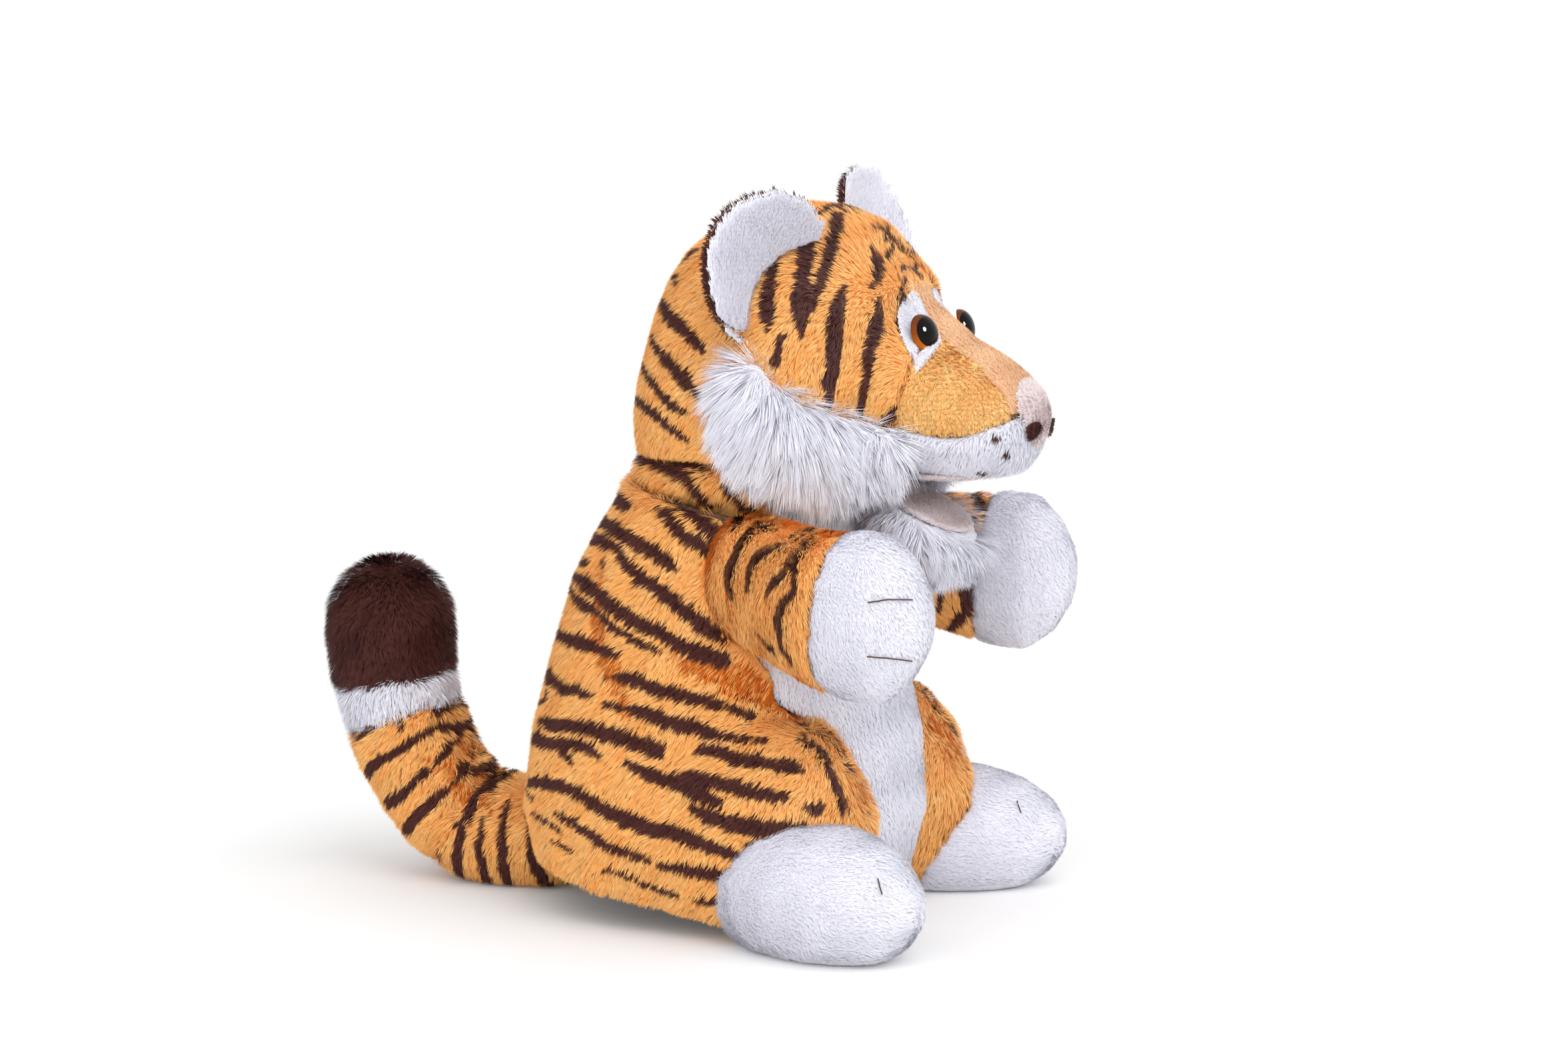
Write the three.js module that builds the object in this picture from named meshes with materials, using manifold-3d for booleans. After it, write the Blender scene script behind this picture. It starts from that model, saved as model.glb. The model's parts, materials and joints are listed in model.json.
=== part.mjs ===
// Tiger hand puppet: a sitting plush tiger that is worn on one hand.
// Millimetres, +Z up. The tiger faces -Y, its right side is -X and its left side is +X.
// Every soft piece is a cloth skin or the filling inside one, cut from a few full forms:
// torso, haunches, skull, muzzle, chin, ears, arms, feet and tail.
import * as THREE from "three";
import { mergeVertices } from "three/addons/utils/BufferGeometryUtils.js";
import Module from "manifold-3d";

const wasm = await Module();
wasm.setup();

// Cloth thicknesses and clearances
const PLUSH = 3;
const LIMB_PLUSH = 2.6;
const LINING = 1.2;
const POCKET_CLOTH = 1;
const HEM_TAPE = 2.4;
const HEM_TAPE_HEIGHT = 9;
const FELT = 1.2;
const SEAM_GAP = 0.3;
const JOINT_GAP = 0.5;

// Further than any point of the puppet from its middle
const CLEAR = 250;

// Torso: height, middle from front to back, half width and half depth of each level
const HEM = { height: 14, middle: 21.5, halfWidth: 59, halfDepth: 61 };
const HIPS = { height: 42, middle: 20.5, halfWidth: 64, halfDepth: 66 };
const WAIST = { height: 82, middle: 20, halfWidth: 58.5, halfDepth: 57.5 };
const CHEST = { height: 117, middle: 18.5, halfWidth: 53, halfDepth: 47.5 };
const SHOULDERS = { height: 134, middle: 14.5, halfWidth: 49, halfDepth: 40 };
const COLLAR = { height: 150, middle: 9.5, halfWidth: 44, halfDepth: 37.5 };
const TORSO_SQUARENESS = 2.25;
const HEM_FRONT = { y: -46, z: 2 };
const HEM_BACK = { y: 92, z: 20 };
const COLLAR_FRONT = { y: -28, z: 130 };
const COLLAR_BACK = { y: 54, z: 147 };
const HAUNCH = { x: 42, y: -4, z: 36, halfWidth: 25, halfLength: 46, halfHeight: 42 };
const BELLY_TOP_HALF = 33;
const BELLY_CHEST_HALF = 44;
const BELLY_WAIST_HALF = 46;
const BELLY_LOW_HALF = 37;
const BELLY_DEPTH = 2;

// Neck: the ball that the head turns and nods on, covered by the gusset
const NECK = { y: 3.5, z: 148, radius: 38.5, cloth: 2.2, gap: 0.8 };
const NECK_TUCK = 7;
const THUMB_HOLE_RADIUS = 10;

// Skull levels, from the crown down
const CROWN = { height: 236, middle: -9 };
const UPPER_SKULL = { height: 231.5, middle: -9, halfWidth: 22, halfDepth: 21 };
const BROW = { height: 220, middle: -6.1, halfWidth: 37.5, halfDepth: 35.1 };
const TEMPLE = { height: 206, middle: -7.2, halfWidth: 46, halfDepth: 44.7 };
const EAR_LEVEL = { height: 190, middle: -3, halfWidth: 50, halfDepth: 45.5 };
const CHEEKBONE = { height: 172, middle: 0, halfWidth: 50.5, halfDepth: 47 };
const NAPE = { height: 157, middle: 2.5, halfWidth: 47.5, halfDepth: 45 };
const HEAD_RIM = 155;

// Muzzle levels, from the middle of the head to the nose
const MUZZLE_ROOT = { front: -22, height: 182, halfWidth: 33, halfHeight: 24 };
const MUZZLE_BASE = { front: -45, height: 179.5, halfWidth: 33.5, halfHeight: 30.5 };
const MUZZLE_MIDDLE = { front: -61, height: 171, halfWidth: 31, halfHeight: 24.5 };
const MUZZLE_FRONT = { front: -76, height: 167.7, halfWidth: 26, halfHeight: 19.7 };
const MUZZLE_END = { front: -86, height: 166, halfWidth: 17, halfHeight: 13 };
const MUZZLE_TIP = { front: -90, height: 166 };
const PALATE_LEVEL = 150.5;
const PALATE_CLOTH = 1.5;
const BRIDGE_TOP = 217;
const BRIDGE_BROW_HALF = 8.5;
const BRIDGE_EYE_HALF = 10;
const BRIDGE_NOSE_HALF = 14.5;
const CHEEK_BACK = -54;
const LIP_BACK = 168;
const LIP_LOW = 163.5;
const LIP_FRONT = 172;

// Nose, eyes, ruff and ears
const NOSE = { front: -80.5, height: 168, halfWidth: 16.5, halfDepth: 12, halfHeight: 14 };
const NOSTRIL = { out: 7.5, height: 164.5, radius: 4.2, cloth: 0.8 };
const EYE = { out: 15.8, height: 193.6, radius: 6.25, dome: 4.4, shank: 1.7, shankLength: 18 };
const EYE_WASHER = { radius: 4.6, thickness: 1.6, depth: 12 };
const EYE_PATCH = { halfWidth: 8.5, halfHeight: 11.5, rise: -0.5, back: 1.5 };
const RUFF_THICKNESS = 6.5;
const RUFF_HALF_WIDTH = 14;
const RUFF_LOWEST = 146;
const RUFF_LINE = [[-13, 187], [-10, 177], [-15, 166], [-28, 160], [-42, 160.5], [-54, 163.5]];
const EAR = { halfLength: 27, halfReach: 23.5, reachOut: 9, front: 3.4, back: 3.4 };
const EAR_LOWER = { left: -0.5, right: 5.5 };
const EAR_GAP = 0.7;
const EAR_FLICK = 8;
const EAR_ABOVE = { x: 76, y: -6, z: 248 };
const EAR_OUT = { x: 0.76, y: 0.1, z: 0.64 };
const EAR_FACING = { left: [-0.16, -0.97, 0.15], right: [-0.62, -0.77, 0.12] };
const EAR_CUP = { left: 0.009, right: 0.018 };
const EAR_CURL = { left: 0.9, right: 0.25 };

// Jaw, open as it rests
const JAW = { y: -38, rest: 29, bead: 1.8, beadHalf: 13, gap: 0.4 };
const JAW_HEIGHT = PALATE_LEVEL - SEAM_GAP - PALATE_CLOTH - JAW.gap - JAW.bead;
const CHIN = { along: 18, drop: 4, halfWidth: 20, halfLength: 17.5, halfHeight: 15 };
const CHIN_TRIM = 2.2;
const UPPER_PALATE = { along: 19.5, halfWidth: 20, halfLength: 20.5 };
const LOWER_PALATE = { along: 16.5, halfWidth: 17, halfLength: 15.5 };
const THUMB_POCKET = { halfWidth: 9, halfHeight: 5.5, depth: 27, drop: 9.5, back: 3.5 };
const FINGER_POCKET = { halfWidth: 21, halfHeight: 9.5, endWidth: 13, endHeight: 6.5 };

// Arms
const SHOULDER = { x: 44, y: -8, z: 116, radius: 14, halfHeight: 21 };
const ARM_CLOSES = 8;
const ARM_OPENS = 45;
const CUFF_AT = 0.57;
const SLEEVE_HALF = { width: 14.5, height: 21.5 };
const CUFF = { x: 62, y: -40, z: 111.5, halfWidth: 16.5, halfHeight: 23.5 };
const PAW = { x: 65.5, y: -60, z: 109.5, halfWidth: 18, halfHeight: 28 };
const PAW_END = { x: 67, y: -79, z: 108.5, halfWidth: 17, halfHeight: 25 };

// Feet
const FOOT = { x: 57, y: -36, z: 18, halfWidth: 25, halfLength: 42, halfHeight: 24, splay: 20 };

// Tail, from the ball at its root to its tip
const TAIL_ROOT = { y: 90, z: 17.8, radius: 17.5 };
const TAIL_FLOOR = { y: 109, z: 18, radius: 18.6 };
const TAIL_BEND = { y: 127, z: 26.5, radius: 18.8 };
const TAIL_RISE = { y: 141, z: 45, radius: 19 };
const TAIL_BAND_MIDDLE = { y: 149, z: 66, radius: 19.6 };
const TAIL_TIP = { y: 151, z: 88, radius: 20.4 };
const TAIL_TOP = { y: 150.5, z: 109.5, radius: 20 };
const TAIL_KNUCKLE = 5;
const TAIL_BAND_FROM = 0.575;
const TAIL_BAND_TO = 0.685;
const TAIL_SOCKET_GAP = 0.9;
const KNUCKLE_GAP = 0.6;

// Colours
const COLOUR = {
  orange: 0xd9822b,
  white: 0xf1e9dd,
  brown: 0x3b2419,
  beige: 0xd9b48a,
  pink: 0xe3b7aa,
  amber: 0x8a4b12,
  lining: 0xcdbfa8,
  filling: 0xf4f2ec,
  plastic: 0xe8e6e0,
};

// A smooth row of numbers through a list of keys, at a share of the way along it
function through(keys, share) {
  const at = THREE.MathUtils.clamp(share, 0, 1) * (keys.length - 1);
  const i = Math.min(Math.floor(at), keys.length - 2);
  const f = at - i;
  return keys[i].map((start, n) => {
    const before = keys[Math.max(i - 1, 0)][n];
    const end = keys[i + 1][n];
    const after = keys[Math.min(i + 2, keys.length - 1)][n];
    const bend = 2 * before - 5 * start + 4 * end - after;
    const twist = 3 * (start - end) + after - before;
    return start + 0.5 * f * (end - before + f * (bend + f * twist));
  });
}

// A closed solid from any closed three.js geometry
function solid(geometry) {
  geometry.deleteAttribute("normal");
  geometry.deleteAttribute("uv");
  const merged = mergeVertices(geometry, 1e-4);
  const points = Float32Array.from(merged.getAttribute("position").array);
  const corners = Uint32Array.from(merged.index.array);
  const faces = [];
  const p = [new THREE.Vector3(), new THREE.Vector3(), new THREE.Vector3()];
  let volume = 0;
  for (let i = 0; i < corners.length; i += 3) {
    const [a, b, c] = [corners[i], corners[i + 1], corners[i + 2]];
    if (a === b || b === c || c === a) continue;
    faces.push(a, b, c);
    p.forEach((point, n) => point.fromArray(points, corners[i + n] * 3));
    volume += p[0].dot(p[1].cross(p[2]));
  }
  if (volume < 0) {
    for (let i = 0; i < faces.length; i += 3) {
      [faces[i], faces[i + 1]] = [faces[i + 1], faces[i]];
    }
  }
  const mesh = new wasm.Mesh({ numProp: 3, vertProperties: points, triVerts: Uint32Array.from(faces) });
  return new wasm.Manifold(mesh);
}

// A sphere's skin moved point by point: place sets each point from its row and its turn
function wrapped(around, rows, place) {
  const geometry = new THREE.SphereGeometry(1, around, rows);
  const points = geometry.getAttribute("position");
  const point = new THREE.Vector3();
  for (let i = 0; i < points.count; i++) {
    point.fromBufferAttribute(points, i);
    const row = Math.acos(THREE.MathUtils.clamp(point.y, -1, 1)) / Math.PI;
    const turn = Math.atan2(point.z, point.x);
    place(point, row, turn);
    points.setXYZ(i, point.x, point.y, point.z);
  }
  return geometry;
}

// A form stacked from oval levels [at, middle, half, deep] along Z or Y, the end levels being points
function stack(axis, levels, squareness, around, rows, grow) {
  const low = levels[0][0];
  const high = levels[levels.length - 1][0];
  const power = 2 / squareness;
  const oval = (value) => Math.sign(value) * Math.abs(value) ** power;
  return wrapped(around, rows, (point, row, turn) => {
    const [at, middle, half, deep] = through(levels, row);
    const ended = row < 1e-6 || row > 1 - 1e-6;
    const moved = at + grow * ((2 * (at - low)) / (high - low) - 1) * Math.sign(high - low);
    const across = ended ? 0 : Math.max(half + grow, 0.05) * oval(Math.cos(turn));
    const deeper = ended ? 0 : Math.max(deep + grow, 0.05) * oval(Math.sin(turn));
    if (axis === "z") point.set(across, middle + deeper, moved);
    else point.set(across, moved, middle + deeper);
  });
}

// A stuffed limb along a curve, with oval sections [across, upright] and rounded ends
function limb({ path, across, sizes, caps }, grow, around, rows) {
  const length = path.getLength();
  const reference = new THREE.Vector3(...across);
  return wrapped(around, rows, (point, row, turn) => {
    const along = -grow + (length + 2 * grow) * (0.5 - 0.5 * Math.cos(Math.PI * row));
    const share = THREE.MathUtils.clamp(along / length, 0, 1);
    const tangent = path.getTangentAt(share);
    const centre = path.getPointAt(share).addScaledVector(tangent, along - share * length);
    const side = reference.clone().addScaledVector(tangent, -reference.dot(tangent)).normalize();
    const upright = tangent.clone().cross(side);
    const fromStart = (along + grow) / (caps[0] + grow);
    const fromEnd = (length + grow - along) / (caps[1] + grow);
    const rounding = (f) => (f >= 1 ? 1 : Math.sqrt(Math.max(1 - (1 - f) ** 2, 0)));
    const taper = rounding(fromStart) * rounding(fromEnd);
    const [wide, tall] = through(sizes, share);
    point.copy(centre);
    point.addScaledVector(side, Math.cos(turn) * (wide + grow) * taper);
    point.addScaledVector(upright, Math.sin(turn) * (tall + grow) * taper);
  });
}

function curve(...points) {
  return new THREE.CatmullRomCurve3(points.map((p) => new THREE.Vector3(...p)), false, "centripetal");
}

function ball(centre, radii, grow, yaw, around, rows) {
  const geometry = new THREE.SphereGeometry(1, around, rows);
  geometry.rotateX(Math.PI / 2);
  geometry.scale(radii[0] + grow, radii[1] + grow, radii[2] + grow);
  geometry.rotateZ(yaw);
  geometry.translate(...centre);
  return geometry;
}

// The far side of a plane, as a block to cut away
function beyond(point, normal) {
  const size = 700;
  const away = new THREE.Vector3(...normal).normalize();
  const geometry = new THREE.BoxGeometry(size, size, size);
  geometry.applyQuaternion(new THREE.Quaternion().setFromUnitVectors(new THREE.Vector3(0, 0, 1), away));
  const centre = new THREE.Vector3(...point).addScaledVector(away, size / 2);
  geometry.translate(centre.x, centre.y, centre.z);
  return solid(geometry);
}

function block(low, high) {
  const size = high.map((value, i) => value - low[i]);
  const geometry = new THREE.BoxGeometry(...size);
  geometry.translate(...high.map((value, i) => (value + low[i]) / 2));
  return solid(geometry);
}

// A flat outline pushed straight through: basis holds where the outline's two axes and the push point
function prism(outline, depth, basis, origin) {
  const shape = new THREE.Shape(outline.map(([x, y]) => new THREE.Vector2(x, y)));
  const geometry = new THREE.ExtrudeGeometry(shape, { depth, bevelEnabled: false });
  const matrix = new THREE.Matrix4().makeBasis(...basis.map((axis) => new THREE.Vector3(...axis)));
  matrix.setPosition(...origin);
  geometry.applyMatrix4(matrix);
  return solid(geometry);
}

function smoothOutline(points, steps) {
  const spline = new THREE.SplineCurve(points.map(([x, y]) => new THREE.Vector2(x, y)));
  return spline.getPoints(steps).map((p) => [p.x, p.y]);
}

function ellipse(halfWidth, halfHeight, steps = 20) {
  const ring = new THREE.EllipseCurve(0, 0, halfWidth, halfHeight).getPoints(steps);
  return ring.slice(0, -1).map((p) => [p.x, p.y]);
}

// The biggest single piece of a solid, without the crumbs a cut can leave
function whole(body) {
  const parts = body.decompose();
  return parts.reduce((best, part) => (part.volume() > best.volume() ? part : best));
}

function geometryOf(body) {
  const mesh = body.getMesh();
  const geometry = new THREE.BufferGeometry();
  geometry.setAttribute("position", new THREE.BufferAttribute(Float32Array.from(mesh.vertProperties), 3));
  geometry.setIndex(new THREE.BufferAttribute(Uint32Array.from(mesh.triVerts), 1));
  geometry.computeVertexNormals();
  return geometry;
}

const puppet = new THREE.Group();

function add(name, body, colour, roughness = 0.95) {
  const material = new THREE.MeshStandardMaterial({ color: colour, roughness, metalness: 0 });
  const mesh = new THREE.Mesh(geometryOf(whole(body)), material);
  mesh.name = name;
  puppet.add(mesh);
}

const SIDES = [["left", 1], ["right", -1]];
const level = ({ height, middle, halfWidth, halfDepth }) => [height, middle, halfWidth, halfDepth];

// Points round a form and rows along it: fewer where it only bounds the inside of a skin
const detail = (grow, outside, inside) => (grow < 0 ? inside : outside);

// Full forms, each of which can be grown or shrunk by a cloth thickness
const torsoLevels = [
  [-16, HEM.middle, 0, 0],
  [-5, HEM.middle, HEM.halfWidth * 0.82, HEM.halfDepth * 0.82],
  level(HEM),
  level(HIPS),
  level(WAIST),
  level(CHEST),
  level(SHOULDERS),
  level(COLLAR),
  [COLLAR.height + 11, COLLAR.middle, COLLAR.halfWidth * 0.66, COLLAR.halfDepth * 0.66],
  [COLLAR.height + 16, COLLAR.middle, 0, 0],
];
const torsoShape = (grow) => {
  return stack("z", torsoLevels, TORSO_SQUARENESS, ...detail(grow, [22, 13], [14, 9]), grow);
};
const torso = (grow) => solid(torsoShape(grow));
const haunch = (s, grow) => {
  const radii = [HAUNCH.halfWidth, HAUNCH.halfLength, HAUNCH.halfHeight];
  return solid(ball([s * HAUNCH.x, HAUNCH.y, HAUNCH.z], radii, grow, 0, 16, 9));
};
const neckBall = (grow) => {
  const radii = [NECK.radius, NECK.radius, NECK.radius];
  return solid(ball([0, NECK.y, NECK.z], radii, grow, 0, ...detail(grow, [20, 10], [14, 7])));
};
const skullLevels = [
  [NAPE.height - 19, NAPE.middle, 0, 0],
  [NAPE.height - 11, NAPE.middle, NAPE.halfWidth * 0.84, NAPE.halfDepth * 0.86],
  level(NAPE),
  level(CHEEKBONE),
  level(EAR_LEVEL),
  level(TEMPLE),
  level(BROW),
  level(UPPER_SKULL),
  [CROWN.height, CROWN.middle, 0, 0],
];
const skull = (grow) => solid(stack("z", skullLevels, 2.1, ...detail(grow, [20, 12], [12, 8]), grow));
const muzzleLevel = ({ front, height, halfWidth, halfHeight }) => [front, height, halfWidth, halfHeight];
const muzzleLevels = [
  [MUZZLE_TIP.front, MUZZLE_TIP.height, 0, 0],
  muzzleLevel(MUZZLE_END),
  muzzleLevel(MUZZLE_FRONT),
  muzzleLevel(MUZZLE_MIDDLE),
  muzzleLevel(MUZZLE_BASE),
  muzzleLevel(MUZZLE_ROOT),
  [MUZZLE_ROOT.front + 8, MUZZLE_ROOT.height, 0, 0],
];
const muzzle = (grow) => solid(stack("y", muzzleLevels, 2.1, ...detail(grow, [18, 9], [10, 6]), grow));
const face = (grow) => skull(grow).add(muzzle(grow));

// Cutting planes of the hem and the collar
const slope = (a, b) => Math.atan2(b.z - a.z, b.y - a.y);
const hemAngle = slope(HEM_FRONT, HEM_BACK);
const collarAngle = slope(COLLAR_FRONT, COLLAR_BACK);
const hemUp = [0, -Math.sin(hemAngle), Math.cos(hemAngle)];
const hemDown = [0, Math.sin(hemAngle), -Math.cos(hemAngle)];
const collarUp = [0, -Math.sin(collarAngle), Math.cos(collarAngle)];
const collarDown = [0, Math.sin(collarAngle), -Math.cos(collarAngle)];
const belowHem = (rise) => beyond([0, HEM_FRONT.y, HEM_FRONT.z + rise], hemDown);
const aboveHem = (rise) => beyond([0, HEM_FRONT.y, HEM_FRONT.z + rise], hemUp);
const aboveCollar = beyond([0, COLLAR_FRONT.y, COLLAR_FRONT.z], collarUp);
const underFloor = beyond([0, 0, 0], [0, 0, -1]);

// Tail: one curve from the root ball to the tip, bent at the knuckle
const tailStops = [TAIL_ROOT, TAIL_FLOOR, TAIL_BEND, TAIL_RISE, TAIL_BAND_MIDDLE, TAIL_TIP, TAIL_TOP];
const tailPath = curve(...tailStops.map(({ y, z }) => [0, y, z]));
const tailSizes = tailStops.map(({ radius }) => [radius, radius]);
const tailForm = (grow) => {
  const shape = { path: tailPath, across: [1, 0, 0], sizes: tailSizes, caps: [4, TAIL_TOP.radius] };
  return solid(limb(shape, grow, ...detail(grow, [14, 14], [8, 10])));
};
const tailBall = (grow) => {
  const radii = [TAIL_ROOT.radius, TAIL_ROOT.radius, TAIL_ROOT.radius];
  return solid(ball([0, TAIL_ROOT.y, TAIL_ROOT.z], radii, grow, 0, ...detail(grow, [14, 7], [8, 5])));
};

// Arms: an upright barrel in the armhole and a limb out to the end of the paw
function armParts(s) {
  const centre = [s * SHOULDER.x, SHOULDER.y, SHOULDER.z];
  const middle = [s * (SHOULDER.x + 9), SHOULDER.y - 16, SHOULDER.z - 1.5];
  const stops = [CUFF, PAW, PAW_END];
  const path = curve(centre, middle, ...stops.map((stop) => [s * stop.x, stop.y, stop.z]));
  const sleeve = [SLEEVE_HALF.width, SLEEVE_HALF.height];
  const sizes = [sleeve, sleeve, ...stops.map((stop) => [stop.halfWidth, stop.halfHeight])];
  const shape = { path, across: [1, 0, 0], sizes, caps: [8, 22] };
  const barrel = (grow) => {
    const radii = [SHOULDER.radius, SHOULDER.radius, SHOULDER.halfHeight];
    return solid(ball(centre, radii, grow, 0, ...detail(grow, [14, 7], [8, 5])));
  };
  const torsoFrom = (angle, grow) => {
    const geometry = torsoShape(grow);
    geometry.translate(-centre[0], -centre[1], 0);
    geometry.rotateZ(s * THREE.MathUtils.degToRad(angle));
    geometry.translate(centre[0], centre[1], 0);
    return solid(geometry);
  };
  const form = (grow) => {
    const clear = JOINT_GAP - grow;
    let body = solid(limb(shape, grow, ...detail(grow, [14, 10], [8, 7])));
    for (const angle of [0, ARM_CLOSES, -0.7 * ARM_OPENS, -ARM_OPENS]) {
      body = body.subtract(torsoFrom(angle, clear));
    }
    return body.add(barrel(grow));
  };
  return { path, barrel, form };
}
const arms = SIDES.map(([, s]) => armParts(s));

// Torso panels, lining and hem
const torsoHollow = torso(-PLUSH);
let shell = torso(0).add(haunch(1, 0)).add(haunch(-1, 0)).subtract(torsoHollow);
const torsoCuts = [belowHem(0), aboveCollar, neckBall(NECK.gap), tailBall(TAIL_SOCKET_GAP)];
for (const arm of arms) torsoCuts.push(arm.barrel(JOINT_GAP));
for (const cut of torsoCuts) shell = shell.subtract(cut);

function bellyCutter(grow) {
  const half = [
    [BELLY_TOP_HALF + grow, COLLAR.height + 20],
    [BELLY_TOP_HALF + grow, COLLAR.height - 8],
    [BELLY_CHEST_HALF + grow, CHEST.height],
    [BELLY_WAIST_HALF + grow, WAIST.height + 8],
    [BELLY_LOW_HALF + grow, HIPS.height],
    [BELLY_LOW_HALF - 8 + grow, HEM.height],
    [BELLY_LOW_HALF - 12 + grow, -20],
  ];
  const right = smoothOutline(half, 16);
  const outline = [...right, ...right.slice().reverse().map(([x, z]) => [-x, z])];
  return prism(outline, 140, [[1, 0, 0], [0, 0, 1], [0, -1, 0]], [0, BELLY_DEPTH + grow, 0]);
}
const thighs = haunch(1, 0).add(haunch(-1, 0));
const thighsClear = haunch(1, SEAM_GAP).add(haunch(-1, SEAM_GAP));
add("belly_panel", shell.intersect(bellyCutter(0)).subtract(thighsClear), COLOUR.white);
const flanks = shell.subtract(bellyCutter(SEAM_GAP).subtract(thighs));
for (const [side, s] of SIDES) {
  const half = flanks.subtract(beyond([s * (SEAM_GAP / 2), 0, 0], [-s, 0, 0]));
  add(`side_panel_${side}`, half, COLOUR.orange);
}

const liningOut = PLUSH + SEAM_GAP;
let lining = torso(-liningOut).subtract(torso(-liningOut - LINING));
lining = lining.subtract(belowHem(HEM_TAPE_HEIGHT + SEAM_GAP));
for (const cut of torsoCuts) lining = lining.subtract(cut);
add("body_lining", lining, COLOUR.lining);
let hem = torso(-liningOut).subtract(torso(-liningOut - HEM_TAPE)).subtract(aboveHem(HEM_TAPE_HEIGHT));
for (const cut of torsoCuts) hem = hem.subtract(cut);
add("hem_binding", hem, COLOUR.lining);

// Neck gusset
const tuck = [0, -NECK_TUCK * Math.sin(-collarAngle), -NECK_TUCK * Math.cos(collarAngle)];
const gussetFloor = beyond([0, COLLAR_FRONT.y + tuck[1], COLLAR_FRONT.z + tuck[2]], collarDown);
const thumbWay = curve([0, NECK.y - 20, NECK.z - 9], [0, JAW.y - 6, JAW_HEIGHT - 12]);
const thumbSize = [THUMB_HOLE_RADIUS, THUMB_HOLE_RADIUS * 0.8];
const thumbShape = { path: thumbWay, across: [1, 0, 0], sizes: [thumbSize, thumbSize], caps: [4, 4] };
const thumbHole = solid(limb(thumbShape, 0, 12, 6));
const gusset = neckBall(0)
  .subtract(neckBall(-NECK.cloth))
  .subtract(beyond([0, 0, HEAD_RIM + NECK_TUCK], [0, 0, 1]))
  .subtract(gussetFloor)
  .subtract(thumbHole);
add("neck_gusset", gusset, COLOUR.orange);

// Head panels, cut from one layer round skull and muzzle
const rimBlock = block([-CLEAR, JAW.y + 2, -CLEAR], [CLEAR, CLEAR, HEAD_RIM]);
const palateBlock = block([-CLEAR, -CLEAR, -CLEAR], [CLEAR, CLEAR, PALATE_LEVEL]);
const trimHead = (body) => body.subtract(rimBlock).subtract(palateBlock).subtract(neckBall(NECK.gap));
const faceSolid = face(0);
const layer = trimHead(faceSolid.subtract(face(-PLUSH)));

// Where a straight line from outside first meets the face
const bothFaces = new THREE.MeshBasicMaterial({ side: THREE.DoubleSide });
const faceMesh = new THREE.Mesh(geometryOf(faceSolid), bothFaces);
function landing(from, toward) {
  const ray = new THREE.Raycaster(new THREE.Vector3(...from), new THREE.Vector3(...toward).normalize());
  return ray.intersectObject(faceMesh)[0].point;
}

function bridgeCutter(grow) {
  const half = [
    [BRIDGE_BROW_HALF * 0.55 + grow, BRIDGE_TOP + grow],
    [BRIDGE_BROW_HALF + grow, BRIDGE_TOP - 6],
    [BRIDGE_EYE_HALF + grow, EYE.height],
    [BRIDGE_NOSE_HALF + grow, NOSE.height + 14],
    [BRIDGE_NOSE_HALF + grow, NOSE.height + 2 - grow],
  ];
  const right = smoothOutline(half, 10);
  const outline = [...right, ...right.slice().reverse().map(([x, z]) => [-x, z])];
  return prism(outline, 100, [[1, 0, 0], [0, 0, 1], [0, -1, 0]], [0, -20, 0]);
}
function lipCutter(grow) {
  const top = smoothOutline(
    [
      [MUZZLE_BASE.front + 12, LIP_BACK + 2 + grow],
      [MUZZLE_MIDDLE.front + 8, LIP_BACK - 2 + grow],
      [MUZZLE_FRONT.front + 4, LIP_LOW + grow],
      [MUZZLE_END.front, LIP_FRONT - 3 + grow],
      [MUZZLE_TIP.front - 6, LIP_FRONT + 3 + grow],
    ],
    10,
  );
  const outline = [...top, [MUZZLE_TIP.front - 6, 120], [MUZZLE_BASE.front + 12, 120]];
  return prism(outline, 2 * CLEAR, [[0, 1, 0], [0, 0, 1], [1, 0, 0]], [-CLEAR, 0, 0]);
}
const bridge = layer.intersect(bridgeCutter(0));
const noBridge = layer.subtract(bridgeCutter(SEAM_GAP));
const behindCheek = (shift) => beyond([0, CHEEK_BACK + shift, NOSE.height + 7], [0, 1, 0.3]);
const muzzleOut = muzzle(1).subtract(skull(0));
const skullPart = noBridge
  .subtract(muzzleOut.subtract(behindCheek(SEAM_GAP)))
  .subtract(muzzleOut.intersect(lipCutter(SEAM_GAP)));
const muzzlePart = noBridge.intersect(muzzle(1).subtract(skull(SEAM_GAP)));

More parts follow.
